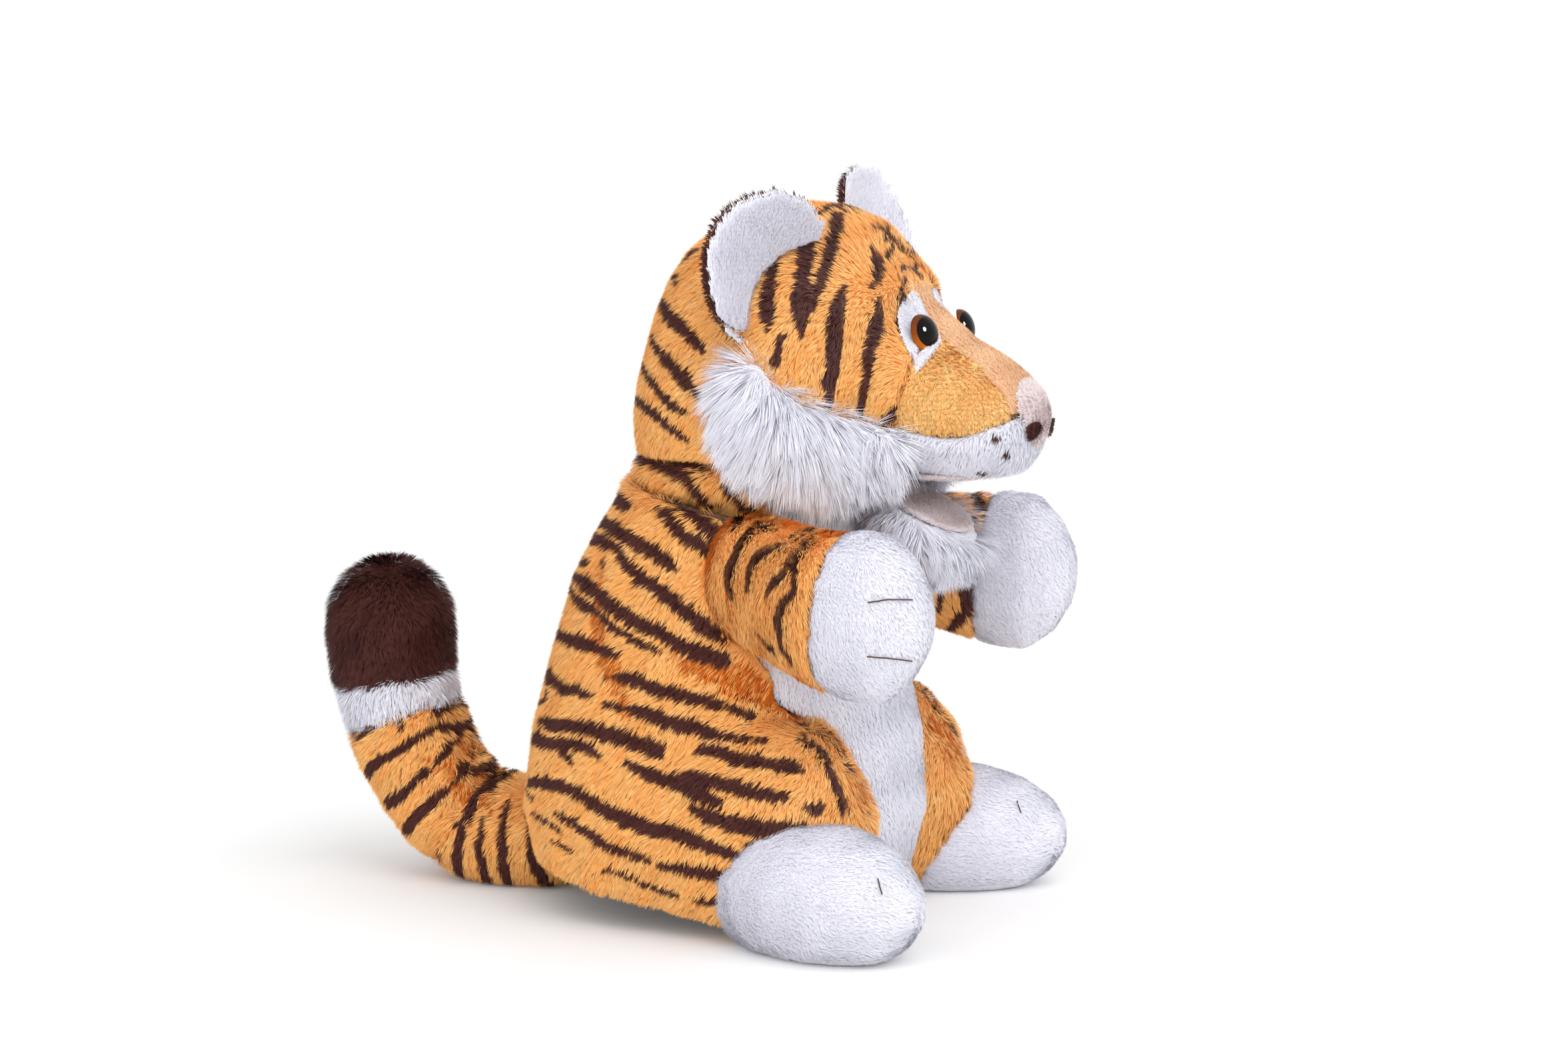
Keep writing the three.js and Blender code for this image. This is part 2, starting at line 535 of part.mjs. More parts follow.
// Eyes: a felt patch, a dome on a shank through the plush, and a washer behind it
const eyes = SIDES.map(([, s]) => {
  const out = new THREE.Vector3(s * 0.22, -0.94, 0.25).normalize();
  const start = [s * EYE.out + out.x * 60, -50 + out.y * 60, EYE.height + out.z * 60];
  const seat = landing(start, [-out.x, -out.y, -out.z]);
  const turned = new THREE.Quaternion().setFromUnitVectors(new THREE.Vector3(0, 0, 1), out);
  const placed = (geometry, depth) => {
    geometry.applyQuaternion(turned);
    geometry.translate(seat.x + out.x * depth, seat.y + out.y * depth, seat.z + out.z * depth);
    return solid(geometry);
  };
  const shank = (grow) => {
    const thick = EYE.shank + grow;
    const rod = new THREE.CylinderGeometry(thick, thick, EYE.shankLength + 2 * grow, 10);
    rod.rotateX(Math.PI / 2);
    return placed(rod, 2 - EYE.shankLength / 2);
  };
  const dome = () => {
    const bead = new THREE.SphereGeometry(1, 18, 10);
    bead.scale(EYE.radius, EYE.radius, EYE.dome);
    return placed(bead, FELT + SEAM_GAP);
  };
  const washer = (grow, hole) => {
    const inner = hole ? EYE.shank + SEAM_GAP : 0;
    const half = EYE_WASHER.thickness / 2 + grow;
    const rim = EYE_WASHER.radius + grow;
    const outline = [[inner, -half], [rim, -half], [rim, half], [inner, half]];
    if (hole) outline.push([inner, -half]);
    const disc = new THREE.LatheGeometry(outline.map(([x, y]) => new THREE.Vector2(x, y)), 14);
    disc.rotateX(Math.PI / 2);
    return placed(disc, -EYE_WASHER.depth);
  };
  const lie = new THREE.Vector3(s * 0.62, -0.7, 0.35).normalize();
  const up = new THREE.Vector3(0, 0, 1).addScaledVector(lie, -lie.z).normalize();
  const across = up.clone().cross(lie);
  const low = seat.clone().addScaledVector(lie, -14).addScaledVector(up, EYE_PATCH.rise);
  low.addScaledVector(across, s * EYE_PATCH.back);
  const oval = ellipse(EYE_PATCH.halfWidth, EYE_PATCH.halfHeight);
  const patchCutter = prism(oval, 30, [across.toArray(), up.toArray(), lie.toArray()], low.toArray());
  return { shank, dome, washer, patchCutter };
});
const feltLayer = face(SEAM_GAP + FELT).subtract(face(SEAM_GAP));
const overFelt = face(2 * SEAM_GAP + FELT);
const shankHoles = eyes[0].shank(SEAM_GAP).add(eyes[1].shank(SEAM_GAP));
SIDES.forEach(([side], i) => {
  const { shank, dome, washer, patchCutter } = eyes[i];
  add(`eye_patch_${side}`, feltLayer.intersect(patchCutter).subtract(shank(SEAM_GAP)), COLOUR.white);
  add(`eye_${side}`, dome().subtract(overFelt).add(shank(0)), COLOUR.amber, 0.1);
  add(`eye_washer_${side}`, washer(0, true), COLOUR.plastic, 0.5);
});

add("nose_bridge", bridge.subtract(shankHoles), COLOUR.beige);
add("upper_lip", muzzlePart.intersect(lipCutter(0)).subtract(shankHoles), COLOUR.white);
for (const [side, s] of SIDES) {
  const beside = beyond([s * SEAM_GAP, 0, 0], [-s, 0, 0]);
  const front = muzzlePart.subtract(lipCutter(SEAM_GAP)).subtract(behindCheek(0));
  const cheek = front.subtract(beside).subtract(shankHoles);
  add(`cheek_${side}`, cheek, COLOUR.orange);
  const half = beyond([s * (SEAM_GAP / 2), 0, 0], [-s, 0, 0]);
  add(`head_panel_${side}`, skullPart.subtract(half).subtract(shankHoles), COLOUR.orange);
}

// Nose and nostrils
const noseForm = (grow) => {
  const radii = [NOSE.halfWidth, NOSE.halfDepth, NOSE.halfHeight];
  return solid(ball([0, NOSE.front, NOSE.height], radii, grow, 0, 18, 10));
};
add("nose", noseForm(0).subtract(face(SEAM_GAP)), COLOUR.pink);
const nostrilCloth = noseForm(SEAM_GAP + NOSTRIL.cloth)
  .subtract(noseForm(SEAM_GAP))
  .subtract(face(2 * SEAM_GAP));
for (const [side, s] of SIDES) {
  const oval = ellipse(NOSTRIL.radius, NOSTRIL.radius * 0.75, 12);
  const at = [s * NOSTRIL.out, NOSE.front - 2, NOSTRIL.height];
  const cutter = prism(oval, 30, [[1, 0, 0], [0, 0, 1], [0, -1, 0]], at);
  add(`nostril_${side}`, nostrilCloth.intersect(cutter), COLOUR.brown);
}

// Finger pocket, head filling and upper palate
const pocketPath = curve(
  [0, NECK.y - 6, NECK.z + 5],
  [0, MUZZLE_BASE.front + 8, PALATE_LEVEL + 11.5],
  [0, MUZZLE_FRONT.front + 13, PALATE_LEVEL + 14.5],
);
const pocketSizes = [
  [FINGER_POCKET.halfWidth, FINGER_POCKET.halfHeight],
  [FINGER_POCKET.halfWidth, FINGER_POCKET.halfHeight],
  [FINGER_POCKET.endWidth, FINGER_POCKET.endHeight],
];
const pocket = (grow) => {
  const shape = { path: pocketPath, across: [1, 0, 0], sizes: pocketSizes, caps: [5, 14] };
  return solid(limb(shape, grow, 14, 8));
};
const aboveFloor = block([-CLEAR, -CLEAR, -CLEAR], [CLEAR, CLEAR, PALATE_LEVEL + SEAM_GAP]);
const within = PLUSH + 2 * SEAM_GAP;
const pocketOut = pocket(0).intersect(face(-within));
const pocketIn = pocket(-POCKET_CLOTH).intersect(face(-within - POCKET_CLOTH));
const pocketCloth = pocketOut.subtract(pocketIn).subtract(neckBall(NECK.gap));
add("finger_pocket", pocketCloth.subtract(aboveFloor), COLOUR.lining);
let filling = trimHead(face(-PLUSH - SEAM_GAP)).subtract(pocket(SEAM_GAP)).subtract(shankHoles);
for (const { washer } of eyes) filling = filling.subtract(washer(SEAM_GAP, false));
add("head_filling", filling, COLOUR.filling);
const palateRing = ellipse(UPPER_PALATE.halfWidth, UPPER_PALATE.halfLength, 22);
const palateAt = [0, JAW.y - UPPER_PALATE.along, PALATE_LEVEL - SEAM_GAP];
const palatePlate = prism(palateRing, PALATE_CLOTH, [[1, 0, 0], [0, -1, 0], [0, 0, -1]], palateAt);
add("upper_palate", palatePlate, COLOUR.pink);

// Ruff: a long-pile crescent along each side of the jaw line
for (const [side, s] of SIDES) {
  const points = RUFF_LINE.map(([y, z]) => landing([s * CLEAR, y, z], [-s, 0, 0]).toArray());
  const sizes = [0.55, 0.9, 1, 1, 0.8, 0.55].map((share) => [RUFF_THICKNESS, RUFF_HALF_WIDTH * share]);
  const shape = { path: curve(...points), across: [s, 0, 0], sizes, caps: [10, 10] };
  const low = block([-CLEAR, -CLEAR, 0], [CLEAR, CLEAR, RUFF_LOWEST]);
  const ruff = solid(limb(shape, 0, 12, 12)).subtract(face(SEAM_GAP));
  add(`ruff_${side}`, ruff.subtract(low), COLOUR.white);
}

// Ears: a white front and a brown back, cupped forward and cut to sit on the head.
// They are soft, and both are turned a little to the tiger's right. Each is clear of the head as it flicks.
for (const [side, s] of SIDES) {
  const out = new THREE.Vector3(s * EAR_OUT.x, EAR_OUT.y, EAR_OUT.z).normalize();
  const front = new THREE.Vector3(...EAR_FACING[side]);
  front.addScaledVector(out, -front.dot(out)).normalize();
  const along = out.clone().cross(front);
  const root = landing([s * EAR_ABOVE.x, EAR_ABOVE.y, EAR_ABOVE.z], out.clone().negate().toArray());
  const middle = root.clone().addScaledVector(out, EAR.reachOut);
  middle.addScaledVector(along, s * EAR_LOWER[side]);
  const headFrom = (angle) => {
    const turn = new THREE.Matrix4().makeRotationAxis(along, THREE.MathUtils.degToRad(angle));
    const there = new THREE.Matrix4().makeTranslation(root);
    const back = new THREE.Matrix4().makeTranslation(root.clone().negate());
    return face(EAR_GAP).transform(there.multiply(turn).multiply(back).toArray());
  };
  const half = (facing, thickness) => {
    const geometry = new THREE.SphereGeometry(1, 18, 8);
    geometry.rotateX(Math.PI / 2);
    const points = geometry.getAttribute("position");
    for (let i = 0; i < points.count; i++) {
      const a = points.getX(i) * EAR.halfLength;
      const b = points.getY(i) * EAR.halfReach;
      const slim = THREE.MathUtils.clamp(0.4 + (b + 14) / 40, 0.4, 1);
      const lift = Math.max(points.getZ(i) * facing, 0) * thickness * slim + SEAM_GAP / 2;
      const depth = facing * lift + EAR_CUP[side] * (a * a + EAR_CURL[side] * b * b);
      const at = middle.clone().addScaledVector(along, a).addScaledVector(out, b);
      at.addScaledVector(front, depth);
      points.setXYZ(i, at.x, at.y, at.z);
    }
    let ear = solid(geometry);
    for (const angle of [0, EAR_FLICK, -EAR_FLICK]) ear = ear.subtract(headFrom(angle));
    return ear;
  };
  add(`ear_front_${side}`, half(1, EAR.front), COLOUR.white);
  add(`ear_back_${side}`, half(-1, EAR.back), COLOUR.brown);
}

// Jaw: chin, lower palate with its hinge bead, and thumb pocket, built shut and then opened to its rest
const opened = (geometry) => {
  geometry.rotateX(THREE.MathUtils.degToRad(JAW.rest));
  geometry.translate(0, JAW.y, JAW_HEIGHT);
  return geometry;
};
const chinRadii = [CHIN.halfWidth, CHIN.halfLength, CHIN.halfHeight];
const chinForm = solid(opened(ball([0, -CHIN.along, -CHIN.drop], chinRadii, 0, 0, 18, 10)));
const rest = THREE.MathUtils.degToRad(JAW.rest);
const jawUp = [0, -Math.sin(rest), Math.cos(rest)];
const chinTop = beyond([0, JAW.y - jawUp[1] * CHIN_TRIM, JAW_HEIGHT - jawUp[2] * CHIN_TRIM], jawUp);
const thumbPath = curve(
  [0, 6, -THUMB_POCKET.drop + 1],
  [0, -10, -THUMB_POCKET.drop],
  [0, -THUMB_POCKET.depth, -THUMB_POCKET.drop + 1],
);
const thumbSizes = [1, 1, 0.8].map((share) => {
  return [THUMB_POCKET.halfWidth * share, THUMB_POCKET.halfHeight * share];
});
const thumb = (grow) => {
  const shape = { path: thumbPath, across: [1, 0, 0], sizes: thumbSizes, caps: [2, 6] };
  return solid(opened(limb(shape, grow, 10, 6)));
};
const jawAft = [0, Math.cos(rest), Math.sin(rest)];
const jawBack = beyond(
  [0, JAW.y - jawAft[1] * THUMB_POCKET.back, JAW_HEIGHT - jawAft[2] * THUMB_POCKET.back],
  jawAft,
);
add("chin", chinForm.subtract(chinTop).subtract(thumb(SEAM_GAP)), COLOUR.white);
add("thumb_pocket", thumb(0).subtract(thumb(-POCKET_CLOTH)).subtract(jawBack), COLOUR.lining);
const plateRing = ellipse(LOWER_PALATE.halfWidth, LOWER_PALATE.halfLength);
const plateShape = new THREE.Shape(plateRing.map(([x, y]) => new THREE.Vector2(x, y)));
const plate = new THREE.ExtrudeGeometry(plateShape, { depth: PALATE_CLOTH, bevelEnabled: false });
plate.translate(0, -LOWER_PALATE.along, -PALATE_CLOTH);
const bead = new THREE.CylinderGeometry(JAW.bead, JAW.bead, 2 * JAW.beadHalf, 12);
bead.rotateZ(Math.PI / 2);
add("lower_palate", solid(opened(plate)).add(solid(opened(bead))), COLOUR.pink);

// Arms: sleeve, mitt paw and filling
SIDES.forEach(([side], i) => {
  const { path, form } = arms[i];
  const cuff = path.getPointAt(CUFF_AT);
  const away = path.getTangentAt(CUFF_AT);
  const skin = form(0).subtract(form(-LIMB_PLUSH));
  const half = SEAM_GAP / 2;
  const before = cuff.clone().addScaledVector(away, -half).toArray();
  const after = cuff.clone().addScaledVector(away, half).toArray();
  add(`arm_sleeve_${side}`, skin.subtract(beyond(before, away.toArray())), COLOUR.orange);
  add(`paw_${side}`, skin.subtract(beyond(after, away.clone().negate().toArray())), COLOUR.white);
  add(`arm_filling_${side}`, form(-LIMB_PLUSH - SEAM_GAP), COLOUR.filling);
});

// Feet: a stuffed white foot under the front of each haunch
for (const [side, s] of SIDES) {
  const yaw = s * THREE.MathUtils.degToRad(FOOT.splay);
  const radii = [FOOT.halfWidth, FOOT.halfLength, FOOT.halfHeight];
  const form = (grow) => {
    return solid(ball([s * FOOT.x, FOOT.y, FOOT.z], radii, grow, yaw, ...detail(grow, [16, 9], [10, 6])));
  };
  const floor = (rise) => beyond([0, 0, rise], [0, 0, -1]);
  const clear = (body, gap) => body.subtract(torso(gap)).subtract(haunch(s, gap));
  const skin = form(0).subtract(floor(0)).subtract(form(-LIMB_PLUSH).subtract(floor(LIMB_PLUSH)));
  add(`foot_${side}`, clear(skin, JOINT_GAP), COLOUR.white);
  const core = form(-LIMB_PLUSH - SEAM_GAP).subtract(floor(LIMB_PLUSH + SEAM_GAP));
  add(`foot_filling_${side}`, clear(core, JOINT_GAP), COLOUR.filling);
}

// Tail: root and end meet in a ball at the bend
const shareOf = (stop) => {
  let best = 0;
  for (let share = 0; share <= 1; share += 0.002) {
    const gap = Math.hypot(tailPath.getPointAt(share).y - stop.y, tailPath.getPointAt(share).z - stop.z);
    const least = Math.hypot(tailPath.getPointAt(best).y - stop.y, tailPath.getPointAt(best).z - stop.z);
    if (gap < least) best = share;
  }
  return best;
};
const bendAt = shareOf(TAIL_BEND);
const bend = tailPath.getPointAt(bendAt);
const bendWay = tailPath.getTangentAt(bendAt);
const knuckle = (grow) => {
  const radii = [TAIL_BEND.radius, TAIL_BEND.radius, TAIL_BEND.radius];
  return solid(ball(bend.toArray(), radii, grow, 0, ...detail(grow, [22, 12], [8, 5])));
};
const beforeBend = beyond(bend.toArray(), bendWay.clone().negate().toArray());
const rootEnd = beyond(bend.clone().addScaledVector(bendWay, -TAIL_KNUCKLE).toArray(), bendWay.toArray());
const rootForm = (grow) => {
  const form = tailForm(grow).subtract(torso(JOINT_GAP - grow)).add(tailBall(grow));
  return form.subtract(beyond([0, 0, -grow], [0, 0, -1]));
};
const toKnuckle = (body) => body.subtract(rootEnd).subtract(knuckle(KNUCKLE_GAP));
const tailEnd = (grow) => tailForm(grow).subtract(beforeBend).add(knuckle(grow));
add("tail_root", toKnuckle(rootForm(0).subtract(rootForm(-LIMB_PLUSH))), COLOUR.orange);
add("tail_filling_root", toKnuckle(rootForm(-LIMB_PLUSH - SEAM_GAP)), COLOUR.filling);
const endSkin = tailEnd(0).subtract(tailEnd(-LIMB_PLUSH)).subtract(underFloor);
const cutAt = (share, shift, facing) => {
  const way = tailPath.getTangentAt(share);
  const at = tailPath.getPointAt(share).addScaledVector(way, shift);
  return beyond(at.toArray(), way.multiplyScalar(facing).toArray());
};
const halfSeam = SEAM_GAP / 2;
add("tail_end", endSkin.subtract(cutAt(TAIL_BAND_FROM, -halfSeam, 1)), COLOUR.orange);
const pastBand = endSkin.subtract(cutAt(TAIL_BAND_FROM, halfSeam, -1));
add("tail_band", pastBand.subtract(cutAt(TAIL_BAND_TO, -halfSeam, 1)), COLOUR.white);
add("tail_tip", endSkin.subtract(cutAt(TAIL_BAND_TO, halfSeam, -1)), COLOUR.brown);
add("tail_filling_end", tailEnd(-LIMB_PLUSH - SEAM_GAP).subtract(underFloor), COLOUR.filling);

// The origin is under the middle of the puppet, on the floor
const box = new THREE.Box3().setFromObject(puppet);
const centre = box.getCenter(new THREE.Vector3());
puppet.position.set(-centre.x, -centre.y, -box.min.z);
puppet.updateMatrixWorld(true);

export default puppet;
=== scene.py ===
# %% [markdown]
# # A plush tiger hand puppet
# The frame holds each sewn piece of the puppet as a plain closed solid, with its joints. This lesson dresses
# those solids. Plush is a knitted backing with a cut pile standing on it, so every plush piece gets two
# surfaces: a soft skin made from its own solid, and a pile of thousands of thin leaning blades that grow
# from that skin. The stripes are printed on the pile, so a blade takes the dye of the place where it lies.

# %% Tools and frame
import json

import bmesh
import bpy
import numpy as np
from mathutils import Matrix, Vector
from mathutils.bvhtree import BVHTree

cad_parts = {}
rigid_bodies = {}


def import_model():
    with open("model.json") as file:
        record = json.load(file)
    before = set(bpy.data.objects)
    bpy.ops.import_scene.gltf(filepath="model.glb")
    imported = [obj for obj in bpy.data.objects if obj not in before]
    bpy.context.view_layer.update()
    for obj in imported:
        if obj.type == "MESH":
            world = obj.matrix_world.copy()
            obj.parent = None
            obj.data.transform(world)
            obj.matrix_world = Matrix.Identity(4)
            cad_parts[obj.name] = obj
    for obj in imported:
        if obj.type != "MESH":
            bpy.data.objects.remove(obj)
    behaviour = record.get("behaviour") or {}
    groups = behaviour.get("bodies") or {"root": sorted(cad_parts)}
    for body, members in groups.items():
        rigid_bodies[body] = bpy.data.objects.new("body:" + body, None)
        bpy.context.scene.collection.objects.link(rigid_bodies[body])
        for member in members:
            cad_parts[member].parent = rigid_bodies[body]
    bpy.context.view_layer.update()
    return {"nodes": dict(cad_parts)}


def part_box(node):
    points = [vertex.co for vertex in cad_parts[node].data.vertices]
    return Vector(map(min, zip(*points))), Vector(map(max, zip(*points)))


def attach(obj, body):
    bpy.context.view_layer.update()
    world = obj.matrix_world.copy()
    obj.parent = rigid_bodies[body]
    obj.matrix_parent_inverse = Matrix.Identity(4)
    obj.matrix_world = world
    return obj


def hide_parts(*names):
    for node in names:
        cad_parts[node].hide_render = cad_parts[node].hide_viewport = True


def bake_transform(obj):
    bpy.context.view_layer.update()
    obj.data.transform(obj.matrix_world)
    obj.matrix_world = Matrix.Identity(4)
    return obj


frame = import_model()
MM = 0.001

# %% [markdown]
# ## The camera
# The puppet sits facing right and a little towards the viewer, seen from just above its eyes. The camera
# is placed by an azimuth, a rise and a distance round the point that it looks at. The same numbers give the
# line of sight through any pixel, which later puts stripes and stitches where the eye sees them.

# %% Camera and lines of sight
PHOTO_SIZE = np.array([2353.0, 1568.0])
LENS, SENSOR = 85.0, 36.0
AZIMUTH, RISE = np.radians(-66.0), np.radians(6.5)
DISTANCE = 1.233
LOOKED_AT = np.array([0.0, -0.0389, 0.130])

towards_camera = np.array([np.sin(AZIMUTH) * np.cos(RISE), -np.cos(AZIMUTH) * np.cos(RISE), np.sin(RISE)])
eye_point = LOOKED_AT + DISTANCE * towards_camera
rightward = np.cross(-towards_camera, [0.0, 0.0, 1.0])
rightward /= np.linalg.norm(rightward)
upward = np.cross(rightward, -towards_camera)
METRES_PER_PIXEL = DISTANCE * SENSOR / LENS / PHOTO_SIZE[0]


def lines_of_sight(pixels):
    """Unit vectors through pixels: one step straight ahead, plus the pixel's offset at that distance."""
    offset = (np.asarray(pixels, float) - PHOTO_SIZE / 2) * SENSOR / LENS / PHOTO_SIZE[0]
    rays = -towards_camera + offset[:, :1] * rightward - offset[:, 1:] * upward
    return rays / np.linalg.norm(rays, axis=1, keepdims=True)


camera = bpy.data.objects.new("camera", bpy.data.cameras.new("camera"))
camera.data.lens = LENS
camera.data.sensor_width = SENSOR
camera.location = eye_point
camera.rotation_euler = Vector(-towards_camera).to_track_quat("-Z", "Y").to_euler()
bpy.context.scene.collection.objects.link(camera)
bpy.context.scene.camera = camera
bpy.context.scene.view_settings.view_transform = "Standard"
print("one pixel is", round(METRES_PER_PIXEL / MM, 3), "mm at the puppet")

# %% [markdown]
# ## Shader sums
# A material is a sum of sockets. One small class wraps a socket so that Python's own operators build the Math
# nodes, and one function adds any other node: its settings first, then the values or links of its sockets.


# %% Sockets as Python values
class Wire:
    """A node's output socket that can be added and multiplied."""

    def __init__(self, tree, socket):
        self.tree = tree
        self.socket = socket

    def __add__(self, other):
        return add_node(self.tree, "ShaderNodeMath", {"operation": "ADD"}, {0: self, 1: other})

    def __mul__(self, other):
        return add_node(self.tree, "ShaderNodeMath", {"operation": "MULTIPLY"}, {0: self, 1: other})

    __radd__ = __add__
    __rmul__ = __mul__


def add_node(tree, kind, settings, sockets, out=0):
    """Adds a node, sets it up, joins its sockets and gives back its output as a Wire."""
    made = tree.nodes.new(kind)
    for key, value in settings.items():
        if key == "stops":
            ramp = made.color_ramp.elements
            while len(ramp) < len(value):
                ramp.new(1.0)
            for stop, (place, colour) in zip(ramp, value):
                stop.position = place
                stop.color = colour
        else:
            setattr(made, key, value)
    for key, value in sockets.items():
        socket = made.inputs[key]
        if isinstance(value, Wire):
            tree.links.new(value.socket, socket)
        else:
            socket.default_value = value
    return Wire(tree, made.outputs[out])


def new_material(name, **plain):
    """A material with one Principled shader, whose even values are set on its own sockets."""
    material = bpy.data.materials.new(name)
    material.use_nodes = True
    shader = material.node_tree.nodes["Principled BSDF"]
    for key, value in plain.items():
        shader.inputs[key.replace("_", " ")].default_value = value
    return material, material.node_tree, shader.inputs


def mixed(tree, share, first, second):
    """first where share is 0 and second where it is 1, as colours."""
    settings = {"data_type": "RGBA", "blend_type": "MIX"}
    return add_node(tree, "ShaderNodeMix", settings, {0: share, 6: first, 7: second}, out=2)


def times(tree, first, second):
    """The product of two colours."""
    settings = {"data_type": "RGBA", "blend_type": "MULTIPLY"}
    return add_node(tree, "ShaderNodeMix", settings, {0: 1.0, 6: first, 7: second}, out=2)


def paint(red, green, blue):
    """A colour as the eye names it, 0 to 255, turned into the linear light that a shader wants."""
    part = np.array([red, green, blue]) / 255
    linear = np.where(part < 0.04045, part / 12.92, ((part + 0.055) / 1.055) ** 2.4)
    return (*linear.tolist(), 1.0)


# %% [markdown]
# ## Dyes
# The pile has few dyes. Each one runs between a darker and a lighter shade, because no two fibres catch the
# light alike. A palette is the list of dyes on one cloth.

# %% Dyes and palettes
ORANGE = (paint(254, 162, 70), paint(255, 212, 138))
BROWN = (paint(56, 26, 24), paint(100, 57, 51))
# Painted shade: a deep orange that stands for the shade in the creases; the cloth has no such dye.
CREASE_PAINTED_SHADE = (paint(184, 76, 14), paint(232, 128, 38))
WHITE = (paint(236, 236, 247), paint(248, 248, 255))
CHEEK = (paint(246, 166, 80), paint(255, 222, 150))
BEIGE = (paint(234, 184, 138), paint(248, 208, 168))
PINK = (paint(232, 216, 217), paint(245, 233, 233))
ORANGE_DYE, BROWN_DYE, PAINTED_CREASE_SHADE_DYE, WHITE_DYE = range(4)
DYE_FROM, DYE_TO, PAINTED_ROOT_SHADE_GONE_AT = 0.1, 0.9, 0.7
NO_TINT = (1, 1, 1, 1)


def map_place(tree):
    """U and V of the place on the piece's own map."""
    place = add_node(tree, "ShaderNodeUVMap", {"uv_map": "OFBake"}, {})
    across = add_node(tree, "ShaderNodeSeparateXYZ", {}, {0: place})
    return across, Wire(tree, across.socket.node.outputs[1])


def pile_material(name, palette, painted_root_shade):
    """Pile: U picks the dye and its shade; V runs from root to tip, with a painted shade darkening the root.
    """
    material, tree, sockets = new_material(name, Roughness=0.75, Specular_IOR_Level=0.2)
    across, along = map_place(tree)
    stops = []
    for index, (dark, light) in enumerate(palette):
        stops.append(((index + DYE_FROM) / len(palette), dark))
        stops.append(((index + DYE_TO) / len(palette), light))
    dye = add_node(tree, "ShaderNodeValToRGB", {"stops": stops}, {0: across})
    # Painted shade: the colour is darkened towards a blade's root, standing for the shade low in the pile.
    shades = [(0.0, painted_root_shade), (PAINTED_ROOT_SHADE_GONE_AT, NO_TINT)]
    depth = add_node(tree, "ShaderNodeValToRGB", {"stops": shades}, {0: along})
    tree.links.new(times(tree, dye, depth).socket, sockets["Base Color"])
    return material


def plush(name, palette, painted_root_shade, slot):
    """A cloth: the material of its pile, its dyes, and the name of its finish."""
    return pile_material(name, palette, painted_root_shade), palette, slot


# Painted root shade: how much darker each blade is painted at its root, warm on coloured cloth, cool on
# white.
WARM_PAINTED_ROOT_SHADE, COOL_PAINTED_ROOT_SHADE = (0.98, 0.93, 0.87, 1.0), (0.99, 0.99, 1.0, 1.0)
STRIPED_PLUSH = plush("striped_pile", [ORANGE, BROWN, CREASE_PAINTED_SHADE, WHITE], WARM_PAINTED_ROOT_SHADE, "striped_plush")
WHITE_PLUSH = plush("white_pile", [WHITE, BROWN], COOL_PAINTED_ROOT_SHADE, "white_plush")
WHITE_FELT = (*WHITE_PLUSH[:2], "white_felt")
CHEEK_PLUSH = plush("cheek_pile", [CHEEK], WARM_PAINTED_ROOT_SHADE, "orange_plush")
BEIGE_PLUSH = plush("beige_pile", [BEIGE], WARM_PAINTED_ROOT_SHADE, "beige_plush")
PINK_PLUSH = plush("pink_pile", [PINK], COOL_PAINTED_ROOT_SHADE, "pink_plush")
BROWN_PLUSH = plush("brown_pile", [BROWN], WARM_PAINTED_ROOT_SHADE, "brown_plush")
print("pile materials:", len(bpy.data.materials))

# %% [markdown]
# Between the blades a little of the knitted backing shows. It has the dye of the pile above it, and a fine
# noise stands for its loops.


# %% Backing
def object_place(tree):
    """The place that is shaded, in the object's own coordinates."""
    return add_node(tree, "ShaderNodeTexCoord", {}, {}, out=3)


def shade_and_bump(tree, sockets, pattern, stops, strength, depth):
    """A pattern of 0 to 1 picks a shade between the stops, and bumps the surface by so many metres."""
    bump = add_node(tree, "ShaderNodeBump", {}, {"Strength": strength, "Distance": depth, "Height": pattern})
    tree.links.new(bump.socket, sockets["Normal"])
    return add_node(tree, "ShaderNodeValToRGB", {"stops": stops}, {0: pattern})


LOOPS_PER_METRE, LOOP_SHADE, LOOP_DEPTH = 900.0, (0.8, 0.78, 0.76, 1), 0.0006
backing, tree, sockets = new_material("plush_backing", Roughness=0.9, Specular_IOR_Level=0.1)
dye = add_node(tree, "ShaderNodeAttribute", {"attribute_name": "dye"}, {})
grain = {"Vector": object_place(tree), "Scale": LOOPS_PER_METRE, "Detail": 3.0}
speck = add_node(tree, "ShaderNodeTexNoise", {}, grain)
shade = shade_and_bump(tree, sockets, speck, [(0.3, LOOP_SHADE), (0.7, NO_TINT)], 0.5, LOOP_DEPTH)
tree.links.new(times(tree, dye, shade).socket, sockets["Base Color"])
print("backing:", len(tree.nodes), "nodes")

# %% [markdown]
# ## Skins
# A skin is a copy of a piece's own solid. The copy's loose triangles are merged, rebuilt as an even net of
# small squares and relaxed a little, so the facets go and the cut edges turn over as a sewn edge does.


# %% Skins from the solids
def whole_mesh(name, points, faces_flat, loop_starts, loop_totals):
    """A mesh from arrays: corner places, all faces' corners in a row, and each face's start and length."""
    mesh = bpy.data.meshes.new(name)
    mesh.vertices.add(len(points))
    mesh.vertices.foreach_set("co", np.asarray(points, np.float32).ravel())
    mesh.loops.add(len(faces_flat))
    mesh.loops.foreach_set("vertex_index", np.asarray(faces_flat, np.int32))
    mesh.polygons.add(len(loop_starts))
    mesh.polygons.foreach_set("loop_start", np.asarray(loop_starts, np.int32))
    mesh.polygons.foreach_set("loop_total", np.asarray(loop_totals, np.int32))
    mesh.update(calc_edges=True)
    return mesh


